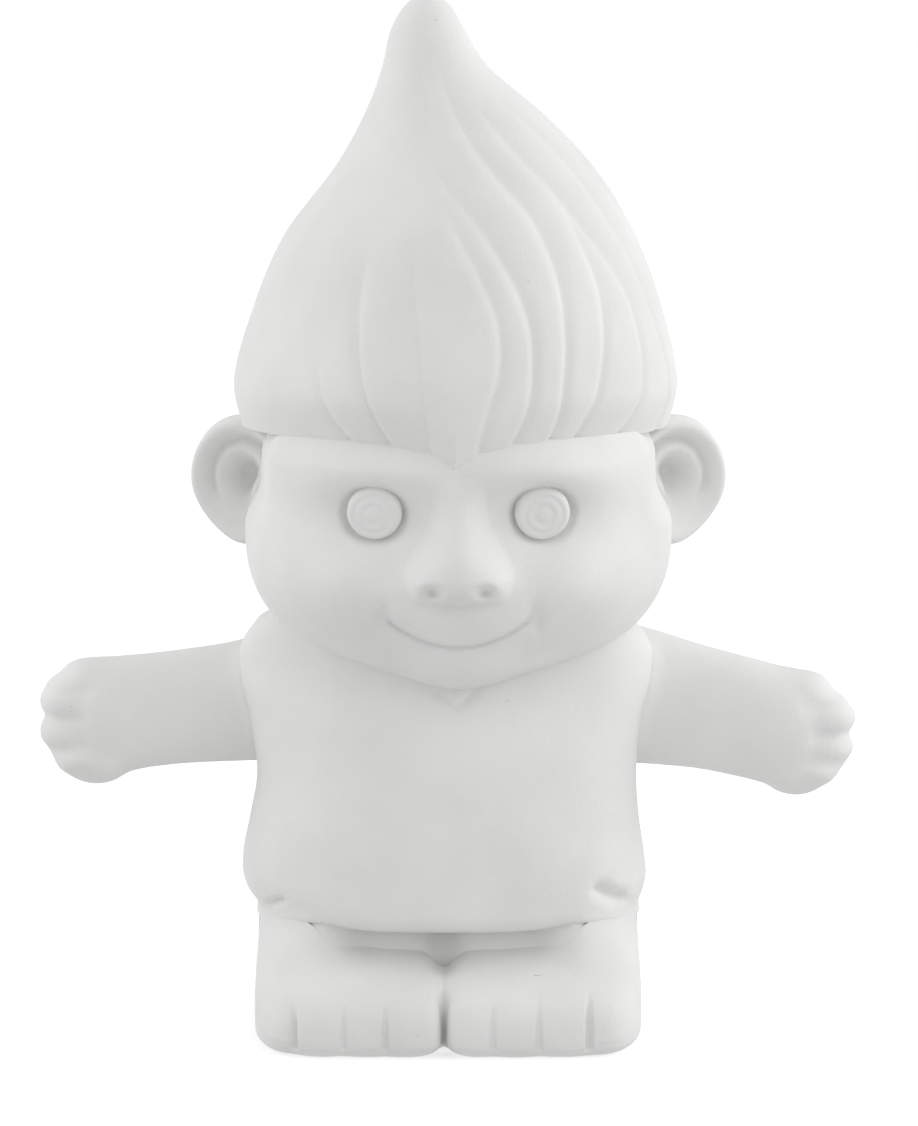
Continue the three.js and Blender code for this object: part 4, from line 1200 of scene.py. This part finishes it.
def shape_foot(side, name):
    foot_low, _ = box_mm(f"{name}_foot")
    start, end = CLEFT_X + side * CLEFT_HALF_WIDTH, side * LEG_HALF_WIDTH
    middle_x, half_width = (start + end) / 2, abs(end - start) / 2
    front = foot_low.y

    def cushion(turn, rise):
        """From the middle of the underside out to the edge, up the wall and over the top."""
        turn = turn - FRONT_COLUMNS * np.sin(turn)
        outward = side * np.sin(turn)
        soft_corner = (outward > 0) & (np.cos(turn) > 0)
        across, forward = rounded(turn, np.where(soft_corner, OUTER_POWER, INNER_POWER))
        edge = np.clip((rise - UNDER_SHARE) / EDGE_SHARE, 0, 1) * np.pi / 2
        over = np.clip((rise - UNDER_SHARE - EDGE_SHARE) / (1 - UNDER_SHARE - EDGE_SHARE), 0, 1)
        over = (1 - (1 - over) ** TOP_CROWDING) * np.pi / 2
        under = np.minimum(rise / UNDER_SHARE, 1) * (1 - FOOT_ROUND / half_width)
        back_share = ease(*BACK_TURN, -np.cos(turn))
        inner_share = ease(*INNER_TURN, -outward)
        side_power = ROUND_POWER - SQUARING * (1 - (1 - inner_share) * (1 - back_share))
        toe_power = ROUND_POWER - SQUARING * back_share + within(TOE_SOFTNESS, np.cos(turn))
        base_share = under + FOOT_ROUND / half_width * np.sin(edge)
        share = np.where(over > 0, np.cos(over) ** side_power, base_share)
        along = np.where(over > 0, np.cos(over) ** toe_power, base_share)
        x = middle_x + half_width * share * across
        set_in = FOOT_SET_IN + within(HEEL_REACH, np.abs(x))
        set_in = set_in + BASE_ROUND * (over == 0) * ease(*UNDER_SIDES, np.abs(x))
        y = front + (1 - along * forward) / 2 * (leg_front(x) + set_in - front)
        aside = side * share * across
        x = x - side * within(INNER_TUCK, y - front, -aside)
        x = x - side * within(HEEL_TUCK, y, aside)
        outside = ease(*OUTSIDE, np.abs(x))
        instep = mix(INSTEP, ease(*INSTEP_SIDES, np.abs(x)))
        top = mix((TOE_HEIGHT, instep), ease(*TOE_SLOPE, y - front))
        sink = mix(FILLET_SINK, outside)
        near = np.clip((y - leg_front(x) - sink) / mix(FILLET, outside) + 1, 0, 1)
        top = top + mix(LEG_CLIMB, outside) * (1 - np.sqrt(1 - near ** 2))
        cleft = CLEFT_DIP * np.exp(-((x - CLEFT_X) / CLEFT_DIP_SPREAD) ** 2)
        top = top - cleft * ease(*CLEFT_DIP_DEPTHS, y - front)
        z = FOOT_EDGE * (1 - np.cos(edge)) + (top - FOOT_EDGE) * np.sin(over) ** toe_power
        return x, y, z

    bm = bmesh.new()
    slab(bm, *FOOT_GRID, cushion)
    for toe, line_top, depth in TOE_LINES[name]:
        foot = (toe, TOE_LINE_FOOT)
        carve(bm, [foot, (toe, line_top)], TOE_LINE_WIDTH, depth, fade=TOE_LINE_FADE)
        carve(bm, [foot, (toe, TOE_DIP_TOP)], TOE_DIP_WIDTH, TOE_DIP_DEPTH)
    return bm


for side, name in SIDES:
    fire(shape_foot(side, name), f"foot_{name}", [f"{name}_foot"])

# %% [markdown]
# ## The stopper
#
# The stopper is a hollow moulded plug with a flange that sits in the step of the coin hole. It is a
# turned shape, so its section is spun. The underside has a moulded groove and a dish with a bar across
# it, to pull the stopper by.

# %% Spin the stopper
FLANGE = stopper_high.x
BOTTOM = stopper_low.z
PLUG_TOP = stopper_high.z
STOPPER_STEPS = 96
PLUG = HOLE_THROAT - STOPPER_GAP
DISH = BOTTOM + 2.2
STOPPER_PROFILE = [
    (0, DISH), (8.0, DISH), (8.8, DISH - 0.4), (9.2, DISH - 1.6), (9.8, BOTTOM + 0.1),
    (12.4, BOTTOM + 0.1), (12.8, BOTTOM + 0.6), (13.5, BOTTOM + 0.6), (13.9, BOTTOM + 0.1),
    (FLANGE - 0.9, BOTTOM), (FLANGE - 0.25, BOTTOM + 0.3), (FLANGE, BOTTOM + 0.9),
    (FLANGE, FLANGE_SEAT - 1.0), (FLANGE - 0.4, FLANGE_SEAT - 0.4), (PLUG + 0.5, FLANGE_SEAT - 0.3),
    (PLUG, FLANGE_SEAT), (PLUG, 8.6), (PLUG + 0.25, 9.3), (PLUG + 0.25, 10.2),
    (PLUG - 1.2, PLUG_TOP - 0.4), (PLUG - 1.8, PLUG_TOP), (PLUG - 4.2, PLUG_TOP),
    (PLUG - 4.4, PLUG_TOP - 0.4), (PLUG - 4.0, 8.2), (0, 8.0)]
TAB_SIZE = (15.6, 3.6, 2.4)
TAB_RISE = 0.1
TAB_ROUND = 0.7
stopper = spin_profile(STOPPER_PROFILE, STOPPER_STEPS)
tab_place = Matrix.Translation((0, 0, BOTTOM + TAB_RISE + TAB_SIZE[2] / 2))
tab = bmesh.ops.create_cube(stopper, size=1, matrix=tab_place @ Matrix.Diagonal((*TAB_SIZE, 1)))
tab_edges = list({e for v in tab["verts"] for e in v.link_edges})
bmesh.ops.bevel(
    stopper, geom=tab_edges, offset=TAB_ROUND, segments=4, profile=0.5, affect="EDGES", material=-1)
fire(stopper, "rubber_stopper", ["stopper"], RUBBER, "stopper", crease=35)
